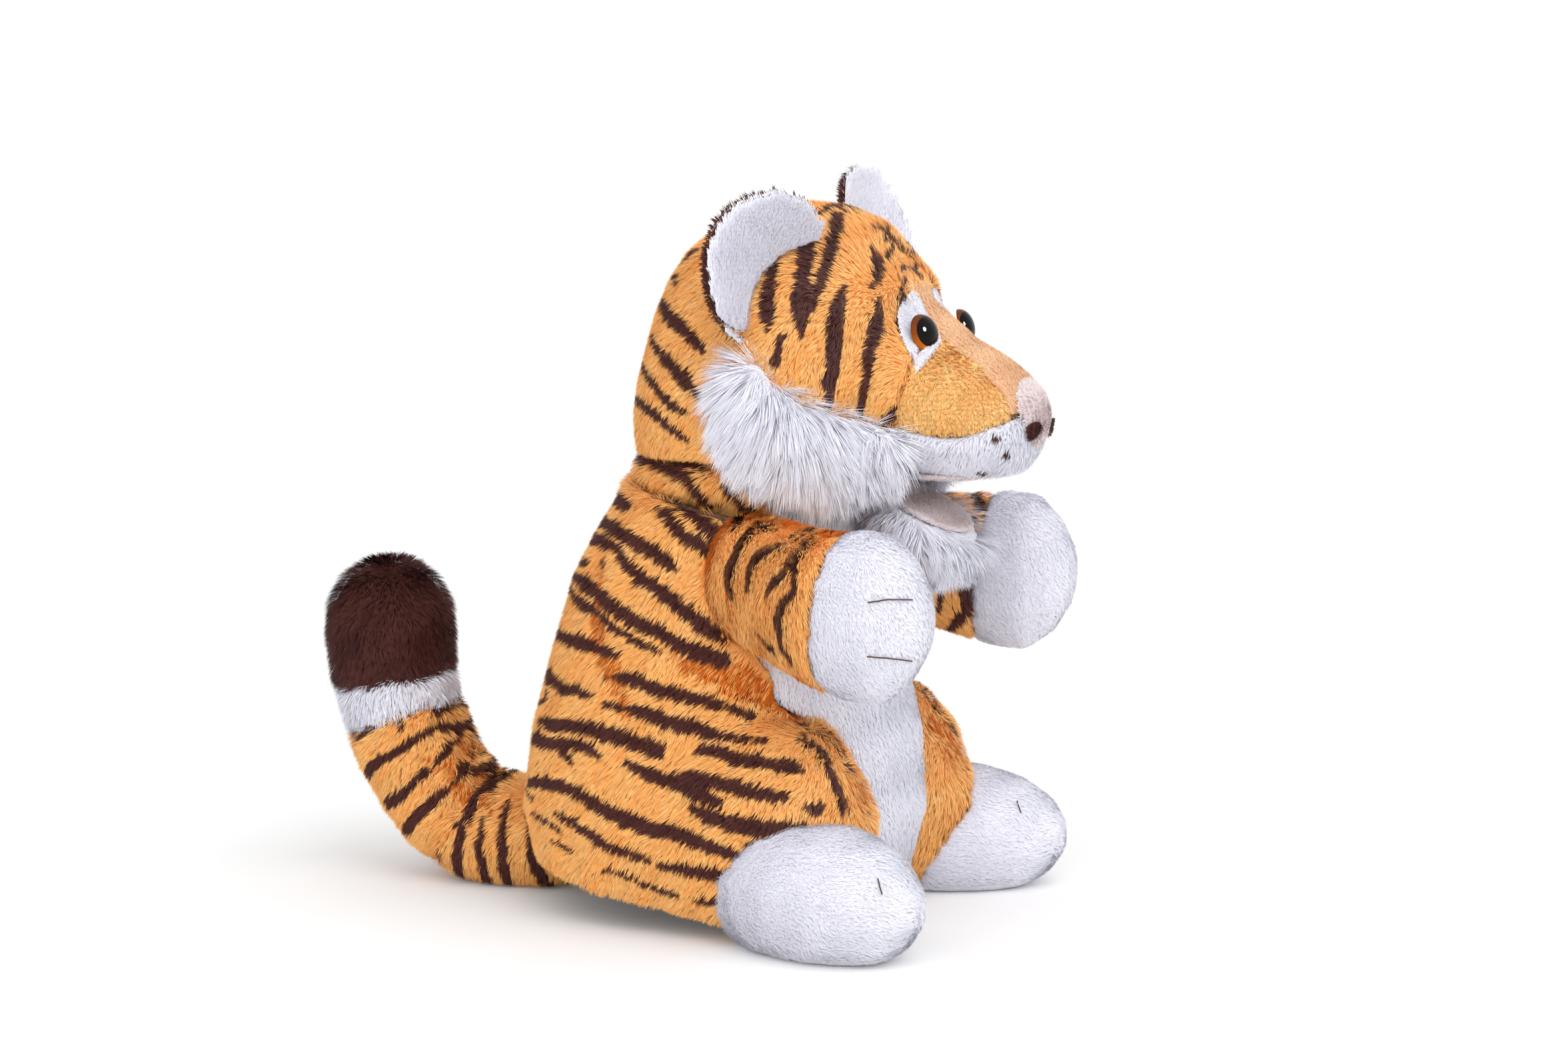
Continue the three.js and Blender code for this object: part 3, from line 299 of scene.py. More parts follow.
def surface_of(piece):
    """A piece's corner places, its smooth normals there, and its triangles."""
    mesh = piece.data
    mesh.calc_loop_triangles()
    points = np.empty(len(mesh.vertices) * 3)
    mesh.vertices.foreach_get("co", points)
    normals = np.empty(len(mesh.vertices) * 3)
    mesh.vertex_normals.foreach_get("vector", normals)
    corners = np.empty(len(mesh.loop_triangles) * 3, np.int32)
    mesh.loop_triangles.foreach_get("vertices", corners)
    return points.reshape(-1, 3), normals.reshape(-1, 3), corners.reshape(-1, 3)


def link(name, mesh, material):
    """A new object for a mesh, at the origin."""
    piece = bpy.data.objects.new(name, mesh)
    piece.data.materials.clear()
    piece.data.materials.append(material)
    bpy.context.scene.collection.objects.link(piece)
    return piece


def merged_copy(node, cuts=0):
    """A copy of the node's solid with its loose triangles joined, and every edge cut that many times."""
    mesh = frame["nodes"][node].data.copy()
    joined = bmesh.new()
    joined.from_mesh(mesh)
    bmesh.ops.remove_doubles(joined, verts=joined.verts, dist=JOINED_WITHIN)
    if cuts:
        bmesh.ops.subdivide_edges(joined, edges=joined.edges, cuts=cuts, use_grid_fill=True)
    joined.to_mesh(mesh)
    joined.free()
    return mesh


def skin_of(node, square):
    """The node's solid, merged, rebuilt in squares of that size and relaxed."""
    piece = link(node + "_skin", merged_copy(node), backing)
    net = piece.modifiers.new("net", "REMESH")
    net.mode = "VOXEL"
    net.voxel_size = square
    net.use_smooth_shade = True
    soften = piece.modifiers.new("soften", "SMOOTH")
    soften.iterations = SKIN_RELAX
    made = piece.evaluated_get(bpy.context.evaluated_depsgraph_get())
    piece.data = bpy.data.meshes.new_from_object(made)
    piece.modifiers.clear()
    piece.data.materials.clear()
    piece.data.materials.append(backing)
    return piece


SIDES = {"left": 1.0, "right": -1.0}
PLUSH_NODES = [
    "side_panel_left", "side_panel_right", "belly_panel", "neck_gusset", "head_panel_left",
    "head_panel_right", "nose_bridge", "nose", "cheek_left", "cheek_right", "nostril_left",
    "nostril_right", "upper_lip", "upper_palate", "ruff_left", "ruff_right", "chin", "lower_palate",
    "ear_front_left", "ear_back_left", "ear_front_right", "ear_back_right", "arm_sleeve_left",
    "paw_left", "arm_sleeve_right", "paw_right", "foot_left", "foot_right", "tail_root", "tail_end",
    "tail_band", "tail_tip",
]
SKIN_SQUARE, SKIN_RELAX, JOINED_WITHIN = 2.0 * MM, 4, 0.01 * MM
FINER_SQUARE = {"upper_palate": 0.6 * MM, "lower_palate": 0.6 * MM}
FINER_SQUARE.update({"nose": 1.0 * MM, "nose_bridge": 1.0 * MM})
for word in SIDES:
    FINER_SQUARE.update({"nostril_" + word: 0.35 * MM, "cheek_" + word: 1.3 * MM})
    FINER_SQUARE.update({"ear_front_" + word: 1.3 * MM, "ear_back_" + word: 1.3 * MM})
skins = {}
for node in PLUSH_NODES:
    skins[node] = skin_of(node, FINER_SQUARE.get(node, SKIN_SQUARE))
print("skins:", len(skins), "with", sum(len(skin.data.polygons) for skin in skins.values()), "squares")

# %% [markdown]
# The neck is a loose tube of plush that bulges between the head and the collar. Its solid is kept slim so
# that the head can turn, so here the skin is pushed out where the cloth would billow.

# %% The billow of the neck
NECK_MIDDLE = np.array([0.0, -0.0354, 0.0])
BILLOW_BACK, BILLOW_FRONT, BILLOW_FROM, BILLOW_TO = 7 * MM, 3 * MM, 0.140, 0.155
BILLOW_BLEND, BILLOW_ROUND = 0.02, 0.6


def move_corners(piece, places):
    """Puts a piece's corners at new places."""
    piece.data.vertices.foreach_set("co", places.astype(np.float32).ravel())
    piece.data.update()


points, _, _ = surface_of(skins["neck_gusset"])
outward = (points - NECK_MIDDLE) * [1, 1, 0]
outward /= np.linalg.norm(outward, axis=1, keepdims=True)
share = np.clip((points[:, 2] - BILLOW_FROM) / (BILLOW_TO - BILLOW_FROM), 0, 1)
backness = np.clip((points[:, 1] - NECK_MIDDLE[1]) / BILLOW_BLEND + 0.5, 0, 1)
swell = (BILLOW_FRONT + (BILLOW_BACK - BILLOW_FRONT) * backness) * np.sin(np.pi * share) ** BILLOW_ROUND
move_corners(skins["neck_gusset"], points + outward * swell[:, None])
print("neck from", points[:, 2].min().round(4), "to", points[:, 2].max().round(4))

# %% [markdown]
# Stuffing rounds the brow, so that the forehead runs into the bridge of the nose without a step, and the
# washer behind each eye pulls the face in round it. Both are soft moves of the skin, as a thumb would make
# them: strongest at one place, and fading with distance.

# %% The stuffed brow and the pulled-in eyes
BROW_MIDDLE, BROW_TALL, BROW_WIDE, BROW_OUT = 0.198, 8 * MM, 10 * MM, 2.6 * MM
BROW_FROM, BROW_BLEND = -0.070, 0.012
EYE_MIDDLE, EYE_PULL, EYE_PULL_REACH = np.array([0.0171, -0.0955, 0.195]), 2.4 * MM, 13 * MM
EYE_AXIS = np.array([0.22, -0.94, 0.25])


def soft_move(points, middle, reach):
    """One at the middle, falling as exp(-(gap / reach)^4), so that the middle part moves as a whole."""
    return np.exp(-((np.linalg.norm(points - middle, axis=1) / reach) ** 4))[:, None]


for node in ["head_panel_left", "head_panel_right", "nose_bridge", "cheek_left", "cheek_right"]:
    points, _, _ = surface_of(skins[node])
    tall = np.exp(-(((points[:, 2] - BROW_MIDDLE) / BROW_TALL) ** 2) - (points[:, 0] / BROW_WIDE) ** 2)
    tall *= np.clip((BROW_FROM - points[:, 1]) / BROW_BLEND, 0, 1)
    move = BROW_OUT * tall[:, None] * [0.0, -1.0, 0.0]
    for side in SIDES.values():
        mirror = np.array([side, 1.0, 1.0])
        move = move - EYE_PULL * soft_move(points, EYE_MIDDLE * mirror, EYE_PULL_REACH) * EYE_AXIS * mirror
    move_corners(skins[node], points + move)
    print(node, "moved by up to", round(np.linalg.norm(move, axis=1).max() / MM, 1), "mm")

# %% [markdown]
# Each nostril patch is cut like a comma: broad at the top and narrow at its foot.

# %% The nostrils' outline
NOSTRIL_FOOT = 0.5
for word in SIDES:
    points, _, _ = surface_of(skins["nostril_" + word])
    low, high = points.min(axis=0), points.max(axis=0)
    from_middle = points[:, :2] - points[:, :2].mean(axis=0)
    along = np.linalg.svd(from_middle, full_matrices=False)[2][0]
    narrow = NOSTRIL_FOOT + (1 - NOSTRIL_FOOT) * (points[:, 2] - low[2]) / (high[2] - low[2])
    points[:, :2] -= ((1 - narrow) * (from_middle @ along))[:, None] * along
    move_corners(skins["nostril_" + word], points)
print("nostril patches cut to shape")

# %% [markdown]
# ## Stripes
# The stripes are brush strokes. Each stroke is a short list of places read off the photograph, with the
# stroke's half width there, all in pixels. A line of sight carries every place onto the skin, and the stroke
# is mirrored for the puppet's other side, because both sides are cut from one printed cloth.

# %% Strokes on the head
HEAD_STROKES = [
    [(1028, 398, 5), (1037, 387, 10), (1046, 384, 6)],
    [(1011, 408, 4), (1015, 422, 7), (1019, 434, 4)],
    [(999, 432, 5), (995, 447, 8), (998, 466, 10), (1010, 483, 11), (1027, 497, 10), (1041, 513, 10),
     (1056, 530, 4)],
    [(977, 483, 3), (977, 500, 5), (986, 520, 7), (998, 540, 8), (1012, 555, 10), (1028, 572, 11),
     (1050, 597, 6)],
    [(964, 533, 6), (967, 547, 6), (972, 562, 6), (984, 580, 7), (998, 598, 8), (1010, 610, 8),
     (1032, 624, 3)],
    [(955, 592, 4), (962, 606, 7), (975, 616, 8), (990, 627, 7), (1004, 640, 7), (1020, 653, 6),
     (1033, 661, 3)],
    [(1162, 372, 5), (1158, 392, 8), (1153, 420, 10), (1150, 450, 11), (1149, 475, 10), (1150, 500, 2)],
    [(1216, 342, 5), (1211, 355, 10), (1206, 375, 12), (1203, 400, 12), (1200, 425, 11), (1198, 450, 13)],
    [(1198, 450, 13), (1199, 470, 14), (1199, 490, 9), (1201, 508, 2)],
    [(1252, 325, 8), (1248, 345, 9), (1242, 375, 9), (1234, 400, 9), (1226, 425, 8), (1217, 445, 8),
     (1208, 465, 10)],
    [(1261, 434, 3), (1256, 450, 8), (1251, 470, 11), (1249, 500, 14), (1247, 530, 12), (1242, 580, 11),
     (1240, 617, 4)],
    [(1169, 512, 3), (1166, 528, 5), (1163, 545, 8), (1161, 552, 3)],
    [(1316, 450, 4), (1313, 468, 9), (1310, 490, 11), (1306, 515, 9), (1302, 545, 8), (1295, 600, 6),
     (1290, 640, 4)],
    [(1303, 372, 4), (1311, 388, 9), (1313, 405, 9), (1309, 422, 6), (1303, 433, 2)],
    [(1345, 402, 3), (1356, 400, 5), (1367, 404, 5), (1374, 413, 4)],
    [(1352, 418, 7), (1355, 432, 7), (1351, 448, 6), (1347, 465, 4), (1347, 485, 3), (1350, 505, 3)],
    [(1302, 341, 2), (1318, 346, 4), (1330, 353, 4), (1343, 361, 3)],
    [(1335, 362, 2), (1347, 370, 4), (1358, 377, 4), (1366, 382, 2)],
    [(1226, 324, 6), (1245, 314, 6), (1268, 310, 6), (1290, 304, 6)],
    [(1366, 545, 2), (1362, 565, 4), (1357, 580, 5), (1352, 598, 9), (1347, 612, 9), (1335, 625, 8),
     (1325, 633, 6)],
]
print("strokes on the head:", len(HEAD_STROKES))

# %% Strokes on the body
BODY_STROKES = [
    [(1000, 668, 2), (1015, 680, 5), (1032, 690, 6), (1045, 694, 4)],
    [(948, 655, 5), (956, 675, 8), (967, 694, 11), (985, 702, 10), (1005, 708, 10), (1022, 718, 8),
     (1040, 733, 7)],
    [(1040, 733, 7), (1055, 745, 8), (1070, 753, 5), (1082, 752, 2)],
    [(1005, 703, 8), (1025, 703, 6), (1045, 705, 6), (1060, 712, 5), (1068, 716, 2)],
    [(1080, 730, 4), (1092, 737, 7), (1102, 746, 6), (1115, 757, 6), (1127, 765, 6), (1135, 770, 4)],
    [(943, 730, 4), (955, 732, 6), (970, 738, 8), (985, 743, 8), (1000, 750, 9), (1018, 762, 10),
     (1033, 772, 10)],
    [(1033, 772, 10), (1050, 785, 11), (1065, 797, 11), (1080, 810, 11), (1086, 825, 6)],
    [(984, 768, 5), (997, 775, 7), (1006, 787, 8), (1015, 800, 8), (1030, 812, 8), (1045, 820, 9),
     (1060, 832, 9)],
    [(1060, 832, 9), (1072, 843, 9), (1080, 852, 4)],
    [(922, 742, 5), (932, 756, 9), (942, 766, 9), (950, 765, 4)],
    [(898, 772, 6), (903, 784, 8), (917, 795, 9), (935, 805, 9), (955, 818, 9), (975, 828, 9),
     (1005, 850, 9), (1015, 857, 3)],
    [(882, 800, 7), (893, 812, 9), (910, 820, 8), (925, 825, 7), (934, 835, 7), (940, 850, 8),
     (955, 863, 7), (968, 872, 6)],
    [(968, 872, 6), (985, 885, 9), (1002, 900, 10), (1020, 915, 9), (1038, 930, 10), (1055, 942, 9),
     (1108, 965, 2)],
    [(1045, 945, 5), (1060, 955, 6), (1078, 966, 6), (1092, 969, 2)],
    [(952, 877, 3), (962, 879, 5), (975, 882, 4)],
    [(870, 840, 7), (878, 848, 7), (885, 853, 4)],
    [(868, 870, 6), (880, 880, 10), (895, 893, 10), (910, 905, 11), (925, 917, 9), (945, 932, 10),
     (985, 950, 9)],
    [(985, 950, 9), (1005, 963, 10), (1025, 975, 10), (1045, 982, 11), (1065, 988, 10), (1082, 995, 10),
     (1091, 1003, 4)],
    [(862, 885, 5), (866, 900, 6), (880, 912, 8), (895, 922, 8), (910, 935, 8), (922, 945, 6),
     (958, 967, 5), (1040, 1004, 2)],
    [(826, 940, 4), (840, 955, 8), (855, 963, 8), (875, 970, 10), (895, 976, 9), (912, 982, 8),
     (928, 988, 4)],
    [(810, 1000, 6), (822, 1013, 8), (838, 1028, 9), (850, 1038, 8), (868, 1040, 7), (882, 1047, 5),
     (892, 1049, 2)],
    [(803, 1032, 4), (812, 1045, 5), (818, 1060, 3)],
    [(908, 1021, 4), (925, 1019, 6), (945, 1022, 8), (962, 1028, 9), (980, 1037, 9), (1000, 1043, 8),
     (1045, 1054, 7)],
    [(1045, 1054, 7), (1065, 1060, 7), (1085, 1065, 5), (1105, 1072, 6), (1125, 1080, 6)],
    [(905, 1060, 3), (920, 1063, 6), (940, 1066, 7), (960, 1070, 9), (980, 1077, 10), (1000, 1087, 10),
     (1040, 1095, 9)],
    [(1040, 1095, 9), (1060, 1102, 9), (1080, 1112, 6), (1100, 1115, 5), (1125, 1117, 5), (1145, 1118, 4)],
    [(815, 1085, 4), (830, 1090, 8), (850, 1092, 9), (875, 1095, 9), (900, 1103, 10), (945, 1116, 10),
     (985, 1128, 11), (995, 1137, 4)],
    [(792, 1090, 3), (797, 1105, 6), (812, 1115, 8), (835, 1120, 9), (875, 1122, 7), (890, 1128, 7),
     (902, 1138, 5)],
    [(845, 1128, 6), (858, 1140, 5), (863, 1148, 2)],
    [(1045, 1133, 4), (1062, 1130, 7), (1080, 1135, 8), (1100, 1143, 9), (1145, 1150, 8), (1190, 1158, 8),
     (1200, 1162, 3)],
    [(940, 1147, 5), (955, 1155, 7), (975, 1163, 9), (995, 1172, 10), (1035, 1185, 13), (1070, 1205, 8),
     (1085, 1208, 3)],
    [(1030, 1172, 10), (1060, 1176, 9), (1085, 1180, 9), (1110, 1187, 9), (1135, 1195, 8),
     (1160, 1200, 8), (1180, 1200, 5)],
    [(800, 1175, 6), (820, 1178, 8), (845, 1182, 9), (865, 1190, 9), (900, 1213, 9), (940, 1232, 11),
     (985, 1247, 10)],
    [(985, 1247, 10), (1010, 1250, 10), (1050, 1266, 10), (1070, 1275, 9), (1095, 1283, 8),
     (1118, 1288, 4)],
    [(836, 1223, 3), (850, 1230, 5), (870, 1240, 6), (890, 1253, 7), (905, 1266, 8), (925, 1275, 8),
     (965, 1288, 6), (980, 1292, 3)],
    [(1040, 1218, 6), (1060, 1226, 9), (1085, 1235, 10), (1110, 1241, 11), (1135, 1245, 11),
     (1185, 1247, 8), (1205, 1243, 5)],
    [(1120, 1272, 5), (1140, 1271, 7), (1158, 1265, 4)],
    [(995, 1300, 5), (1015, 1303, 7), (1035, 1308, 8), (1060, 1311, 8), (1080, 1315, 9), (1110, 1322, 4)],
    [(1045, 1352, 4), (1060, 1353, 5), (1075, 1351, 3)],
    [(910, 1307, 3), (935, 1312, 4), (955, 1320, 4), (975, 1330, 4), (1000, 1338, 5), (1020, 1345, 4)],
    [(805, 1222, 2), (820, 1232, 3), (835, 1240, 4), (848, 1248, 3)],
    [(835, 1262, 2), (852, 1270, 4), (862, 1276, 3)],
    [(795, 1170, 3), (798, 1190, 4), (805, 1203, 3)],
    [(1075, 1020, 3), (1095, 1035, 6), (1115, 1045, 8), (1140, 1060, 7), (1165, 1070, 6), (1190, 1085, 5),
     (1235, 1105, 5)],
    [(1200, 1112, 6), (1225, 1132, 5), (1235, 1148, 6), (1245, 1165, 6), (1252, 1185, 6), (1262, 1222, 6)],
    [(1240, 1108, 5), (1255, 1120, 5), (1265, 1135, 4), (1275, 1155, 4), (1285, 1175, 4), (1302, 1225, 4)],
    [(1205, 1215, 3), (1220, 1220, 8), (1230, 1215, 4)],
]
print("strokes on the body:", len(BODY_STROKES))

# %% Strokes on the arms and the tail
ARM_STROKES = [
    [(1102, 795, 6), (1110, 783, 8), (1120, 775, 8), (1132, 770, 5)],
    [(1145, 778, 3), (1155, 778, 6), (1163, 775, 3)],
    [(1163, 794, 4), (1150, 793, 8), (1135, 797, 9), (1122, 808, 10), (1115, 822, 10), (1107, 840, 10),
     (1100, 860, 11)],
    [(1100, 860, 11), (1097, 875, 10), (1102, 888, 7), (1106, 900, 2)],
    [(1180, 826, 4), (1165, 829, 6), (1150, 835, 8), (1138, 845, 9), (1132, 858, 7), (1127, 885, 5),
     (1126, 891, 2)],
    [(1190, 812, 4), (1200, 806, 6), (1212, 803, 6), (1225, 800, 5), (1240, 801, 3), (1252, 799, 2)],
    [(1218, 815, 5), (1207, 825, 8), (1197, 838, 9), (1195, 855, 6), (1196, 875, 4), (1197, 895, 3)],
    [(1187, 848, 5), (1184, 862, 6), (1178, 872, 7), (1165, 880, 6), (1158, 892, 5), (1156, 900, 3)],
    [(1198, 896, 4), (1186, 904, 6), (1178, 920, 8), (1174, 938, 8), (1177, 955, 7), (1180, 970, 6),
     (1195, 995, 4)],
    [(1148, 955, 3), (1153, 963, 5), (1165, 975, 4), (1172, 982, 2)],
    [(1222, 910, 3), (1217, 930, 3), (1218, 950, 6), (1217, 962, 3)],
]
INNER_ARM_STROKES = [
    [(1438, 739, 6), (1448, 740, 7), (1456, 738, 4)],
    [(1463, 746, 6), (1472, 755, 8), (1474, 775, 9), (1475, 800, 7), (1472, 830, 6)],
    [(1448, 778, 5), (1458, 782, 5)],
    [(1465, 850, 8), (1455, 870, 9), (1450, 890, 9), (1455, 915, 8), (1440, 930, 8), (1430, 940, 6)],
    [(1415, 885, 4), (1413, 905, 4), (1411, 915, 3)],
]
TAIL_STROKES = [
    [(530, 1115, 6), (548, 1100, 9), (565, 1090, 9), (582, 1080, 9), (600, 1068, 9), (640, 1060, 8),
     (693, 1062, 8)],
    [(560, 1165, 8), (565, 1150, 9), (575, 1142, 8), (590, 1135, 6), (610, 1122, 6), (650, 1098, 6),
     (705, 1095, 6)],
    [(590, 1205, 8), (605, 1197, 8), (617, 1185, 6), (630, 1170, 6), (643, 1157, 7), (668, 1132, 5),
     (690, 1106, 4)],
    [(617, 1245, 8), (625, 1230, 8), (640, 1215, 7), (655, 1203, 6), (668, 1195, 6), (678, 1180, 6),
     (690, 1170, 4)],
    [(692, 1160, 8), (700, 1150, 7), (708, 1138, 5)],
    [(700, 1232, 8), (706, 1212, 9), (715, 1195, 9), (725, 1185, 8), (735, 1168, 8), (742, 1150, 8),
     (748, 1140, 6)],
    [(690, 1238, 3), (680, 1244, 3)],
    [(666, 1278, 5), (667, 1290, 5), (668, 1298, 3)],
    [(697, 1245, 8), (693, 1262, 8), (691, 1280, 8), (693, 1295, 8), (697, 1310, 6)],
    [(725, 1232, 3), (722, 1255, 5), (723, 1275, 6), (728, 1295, 7), (735, 1312, 8), (738, 1322, 5)],
    [(760, 1215, 5), (757, 1235, 6), (755, 1260, 8), (757, 1285, 8), (760, 1305, 7), (768, 1322, 6),
     (774, 1330, 3)],
    [(795, 1215, 5), (797, 1240, 5), (798, 1265, 5), (800, 1285, 6), (808, 1303, 8), (820, 1320, 8),
     (830, 1334, 5)],
    [(810, 1240, 5), (817, 1258, 7), (825, 1278, 9), (838, 1295, 9), (850, 1310, 8), (862, 1322, 7),
     (870, 1330, 4)],
    [(733, 1190, 7), (745, 1178, 7), (758, 1170, 5), (770, 1164, 3)],
]
print("strokes on arm and tail:", len(ARM_STROKES) + len(INNER_ARM_STROKES), len(TAIL_STROKES))

# %% [markdown]
# The photograph doesn't show the back. Its strokes are a guess in the same hand, as x, height and half width
# in millimetres, and they meet the ones from the side.

# %% Strokes on the back
BEHIND = 0.3
BACK_HEAD_STROKES = [
    [(-19, 212, 0.9), (-11, 215, 1.7), (-4, 214, 0.8)],
    [(-20, 200, 0.9), (-12, 202, 1.8), (-4, 200, 0.9)],
    [(-21, 186, 0.9), (-12, 187, 1.9), (-5, 185, 0.8)],
    [(-20, 171, 0.9), (-12, 171, 1.8), (-4, 168, 0.9)],
    [(-22, 160, 0.8), (-14, 160, 1.6), (-6, 158, 0.7)],
]
BACK_BODY_STROKES = [
    [(-22, 128, 0.9), (-13, 130, 1.6), (-5, 128, 0.8)],
    [(-24, 116, 1.0), (-14, 118, 1.7), (-5, 116, 0.8)],
    [(-22, 105, 0.8), (-13, 106, 1.9), (-4, 103, 1.0)],
    [(-26, 92, 1.0), (-15, 93, 1.8), (-7, 91, 0.7)],
    [(-23, 79, 0.8), (-12, 79, 2.0), (-3, 76, 1.0)],
    [(-25, 66, 1.0), (-14, 65, 1.8), (-6, 62, 0.8)],
    [(-24, 52, 0.9), (-13, 51, 1.9), (-4, 48, 0.9)],
    [(-28, 38, 1.0), (-20, 36, 1.7), (-14, 33, 0.8)],
    [(-32, 27, 1.0), (-26, 26, 1.6), (-21, 24, 0.7)],
]
print("strokes on the back:", len(BACK_HEAD_STROKES), len(BACK_BODY_STROKES))

# %% Creases, the eye patch and the dots on the lip
CREASES = [
    [(1010, 996, 6), (1050, 1008, 10), (1090, 1022, 12), (1135, 1042, 12), (1190, 1075, 8)],
    [(1080, 800, 6), (1086, 860, 9), (1100, 910, 12), (1132, 952, 12), (1160, 1000, 10)],
    [(1235, 1085, 6), (1265, 1115, 9), (1285, 1150, 9), (1300, 1200, 7)],
]
TAIL_CREASES = [
    [(640, 1140, 5), (668, 1165, 8), (695, 1200, 9), (705, 1240, 5)],
    [(690, 1120, 5), (715, 1165, 9), (730, 1215, 8)],
]
PATCH_OUTLINE = [
    (1369, 436), (1357, 447), (1350, 459), (1347, 470), (1349, 485), (1352, 500), (1359, 516), (1365, 530),
    (1369, 545), (1374, 557), (1382, 548), (1390, 539), (1400, 528), (1406, 518), (1411, 513), (1408, 501),
    (1401, 489), (1392, 475), (1387, 462), (1381, 449),
]
LIP_DOTS = [
    [(1490, 660, 4), (1493, 662, 4)],
    [(1504, 684, 4), (1507, 686, 4)],
    [(1470, 707, 4), (1474, 709, 4)],
]
print("creases:", len(CREASES) + len(TAIL_CREASES), "dots on one side of the lip:", len(LIP_DOTS))

# %% From pixels to the cloth
STROKE_STEP, MARK_STEP, MARK_LEAST, LEAP = 3.0, 0.6 * MM, 0.95 * MM, 14 * MM
SPREAD, HEAD_SPREAD, CREASE_SPREAD = 1.2, 1.05, 1.9
SIDE_PANELS = ["side_panel_right", "side_panel_left"]
HEAD_PANELS = ["head_panel_right", "head_panel_left"]
TAIL_PIECES = ["tail_root", "tail_end"]


def filled(places):
    """The places of one stroke with more set between neighbours, evenly on the straight way between them.
    Where the way is longer than LEAP, the stroke has jumped to another piece and nothing is added."""
    ways = np.diff(places, axis=0)
    far = np.linalg.norm(ways[:, :3], axis=1)
    parts = np.where(far < LEAP, np.ceil(far / MARK_STEP), 1).clip(1).astype(int)
    first = np.repeat(np.cumsum(parts) - parts, parts)
    share = (np.arange(parts.sum()) - first) / np.repeat(parts, parts)
    between = np.repeat(places[:-1], parts, axis=0) + share[:, None] * np.repeat(ways, parts, axis=0)
    return np.concatenate([between, places[-1:]])


def trees_of(nodes):
    """A search tree for each skin."""
    found = []
    for name in nodes:
        points, _, corners = surface_of(skins[name])
        found.append(BVHTree.FromPolygons(points.tolist(), corners.tolist()))
    return found


def on_cloth(strokes, nodes, spread=SPREAD):
    """Places x, y, z and half width in metres along every stroke, where its lines of sight meet the skins.
    spread widens the strokes a little, to make up for the blades that lean in over their edges, and no stroke
    is so thin that single blades would break it up."""
    trees = trees_of(nodes)
    marks = []
    for stroke in strokes:
        given = np.array(stroke, float)
        run = np.append(0, np.cumsum(np.linalg.norm(np.diff(given[:, :2], axis=0), axis=1)))
        steps = np.linspace(0, run[-1], max(2, int(run[-1] / STROKE_STEP) + 1))
        dense = np.stack([np.interp(steps, run, given[:, column]) for column in range(3)], axis=1)
        last, places = DISTANCE, []
        for ray, width in zip(lines_of_sight(dense[:, :2]), dense[:, 2]):
            hits = [tree.ray_cast(Vector(eye_point), Vector(ray)) for tree in trees]
            hits = [hit for hit in hits if hit[0] is not None]
            if hits:
                near = min(hits, key=lambda hit: hit[3])
                place, last = near[0], near[3]
            else:
                guess = Vector(eye_point + last * ray)
                near = min((tree.find_nearest(guess) for tree in trees), key=lambda hit: hit[3])
                place = near[0]
            places.append((*place, max(MARK_LEAST, spread * width * METRES_PER_PIXEL)))
        marks.append(filled(np.array(places)))
    return np.concatenate(marks)


def on_the_back(strokes, nodes):
    """The same for strokes that the camera can't see, given as x, z and half width in millimetres and
    carried onto the cloth straight from behind."""
    trees = trees_of(nodes)
    marks = []
    for stroke in strokes:
        places = []
        for x, z, width in np.array(stroke) * MM:
            hits = [tree.ray_cast(Vector((x, BEHIND, z)), Vector((0, -1, 0))) for tree in trees]
            near = min((hit for hit in hits if hit[0] is not None), key=lambda hit: hit[3])
            places.append((*near[0], width))
        marks.append(filled(np.array(places)))
    return np.concatenate(marks)


def both_sides(*marks):
    """All the marks and their mirror images across the puppet's middle."""
    one_side = np.concatenate(marks)
    return np.concatenate([one_side, one_side * [-1, 1, 1, 1]])


head_front = on_cloth(HEAD_STROKES, [*HEAD_PANELS, "nose_bridge"], HEAD_SPREAD)
head_marks = both_sides(head_front, on_the_back(BACK_HEAD_STROKES, HEAD_PANELS))
body_front = on_cloth(BODY_STROKES, [*SIDE_PANELS, "neck_gusset"])
body_marks = both_sides(body_front, on_the_back(BACK_BODY_STROKES, SIDE_PANELS))
arm_inside = on_cloth(INNER_ARM_STROKES, ["arm_sleeve_left"])
arm_marks = both_sides(on_cloth(ARM_STROKES, ["arm_sleeve_right"]), arm_inside)
tail_marks = both_sides(on_cloth(TAIL_STROKES, TAIL_PIECES))
crease_marks = both_sides(on_cloth(CREASES, SIDE_PANELS, CREASE_SPREAD))
tail_crease_marks = both_sides(on_cloth(TAIL_CREASES, TAIL_PIECES))
lip_marks = both_sides(on_cloth(LIP_DOTS, ["upper_lip"]))
print("stripe marks:", len(head_marks), len(body_marks), len(arm_marks), len(tail_marks))

# %% [markdown]
# ## Where a stroke has dyed the cloth
# A place is dyed if it lies nearer to a mark than that mark's half width. A ripple of up to half a
# millimetre each way along the edge stands for dye that has crept along the fibres.

# %% Dyed places
CREEP, SLICE = 0.35 * MM, 2000


def ripple(points):
    """A smooth noise from -1.5 to 1.5: a product of two sines of unlike wavelengths, and half a third one."""
    x, y, z = (points / MM).T
    return np.sin(1.9 * x + 2.3 * z) * np.sin(1.3 * y - 2.9 * z + 1.0) + 0.5 * np.sin(3.7 * y + 1.1 * x)


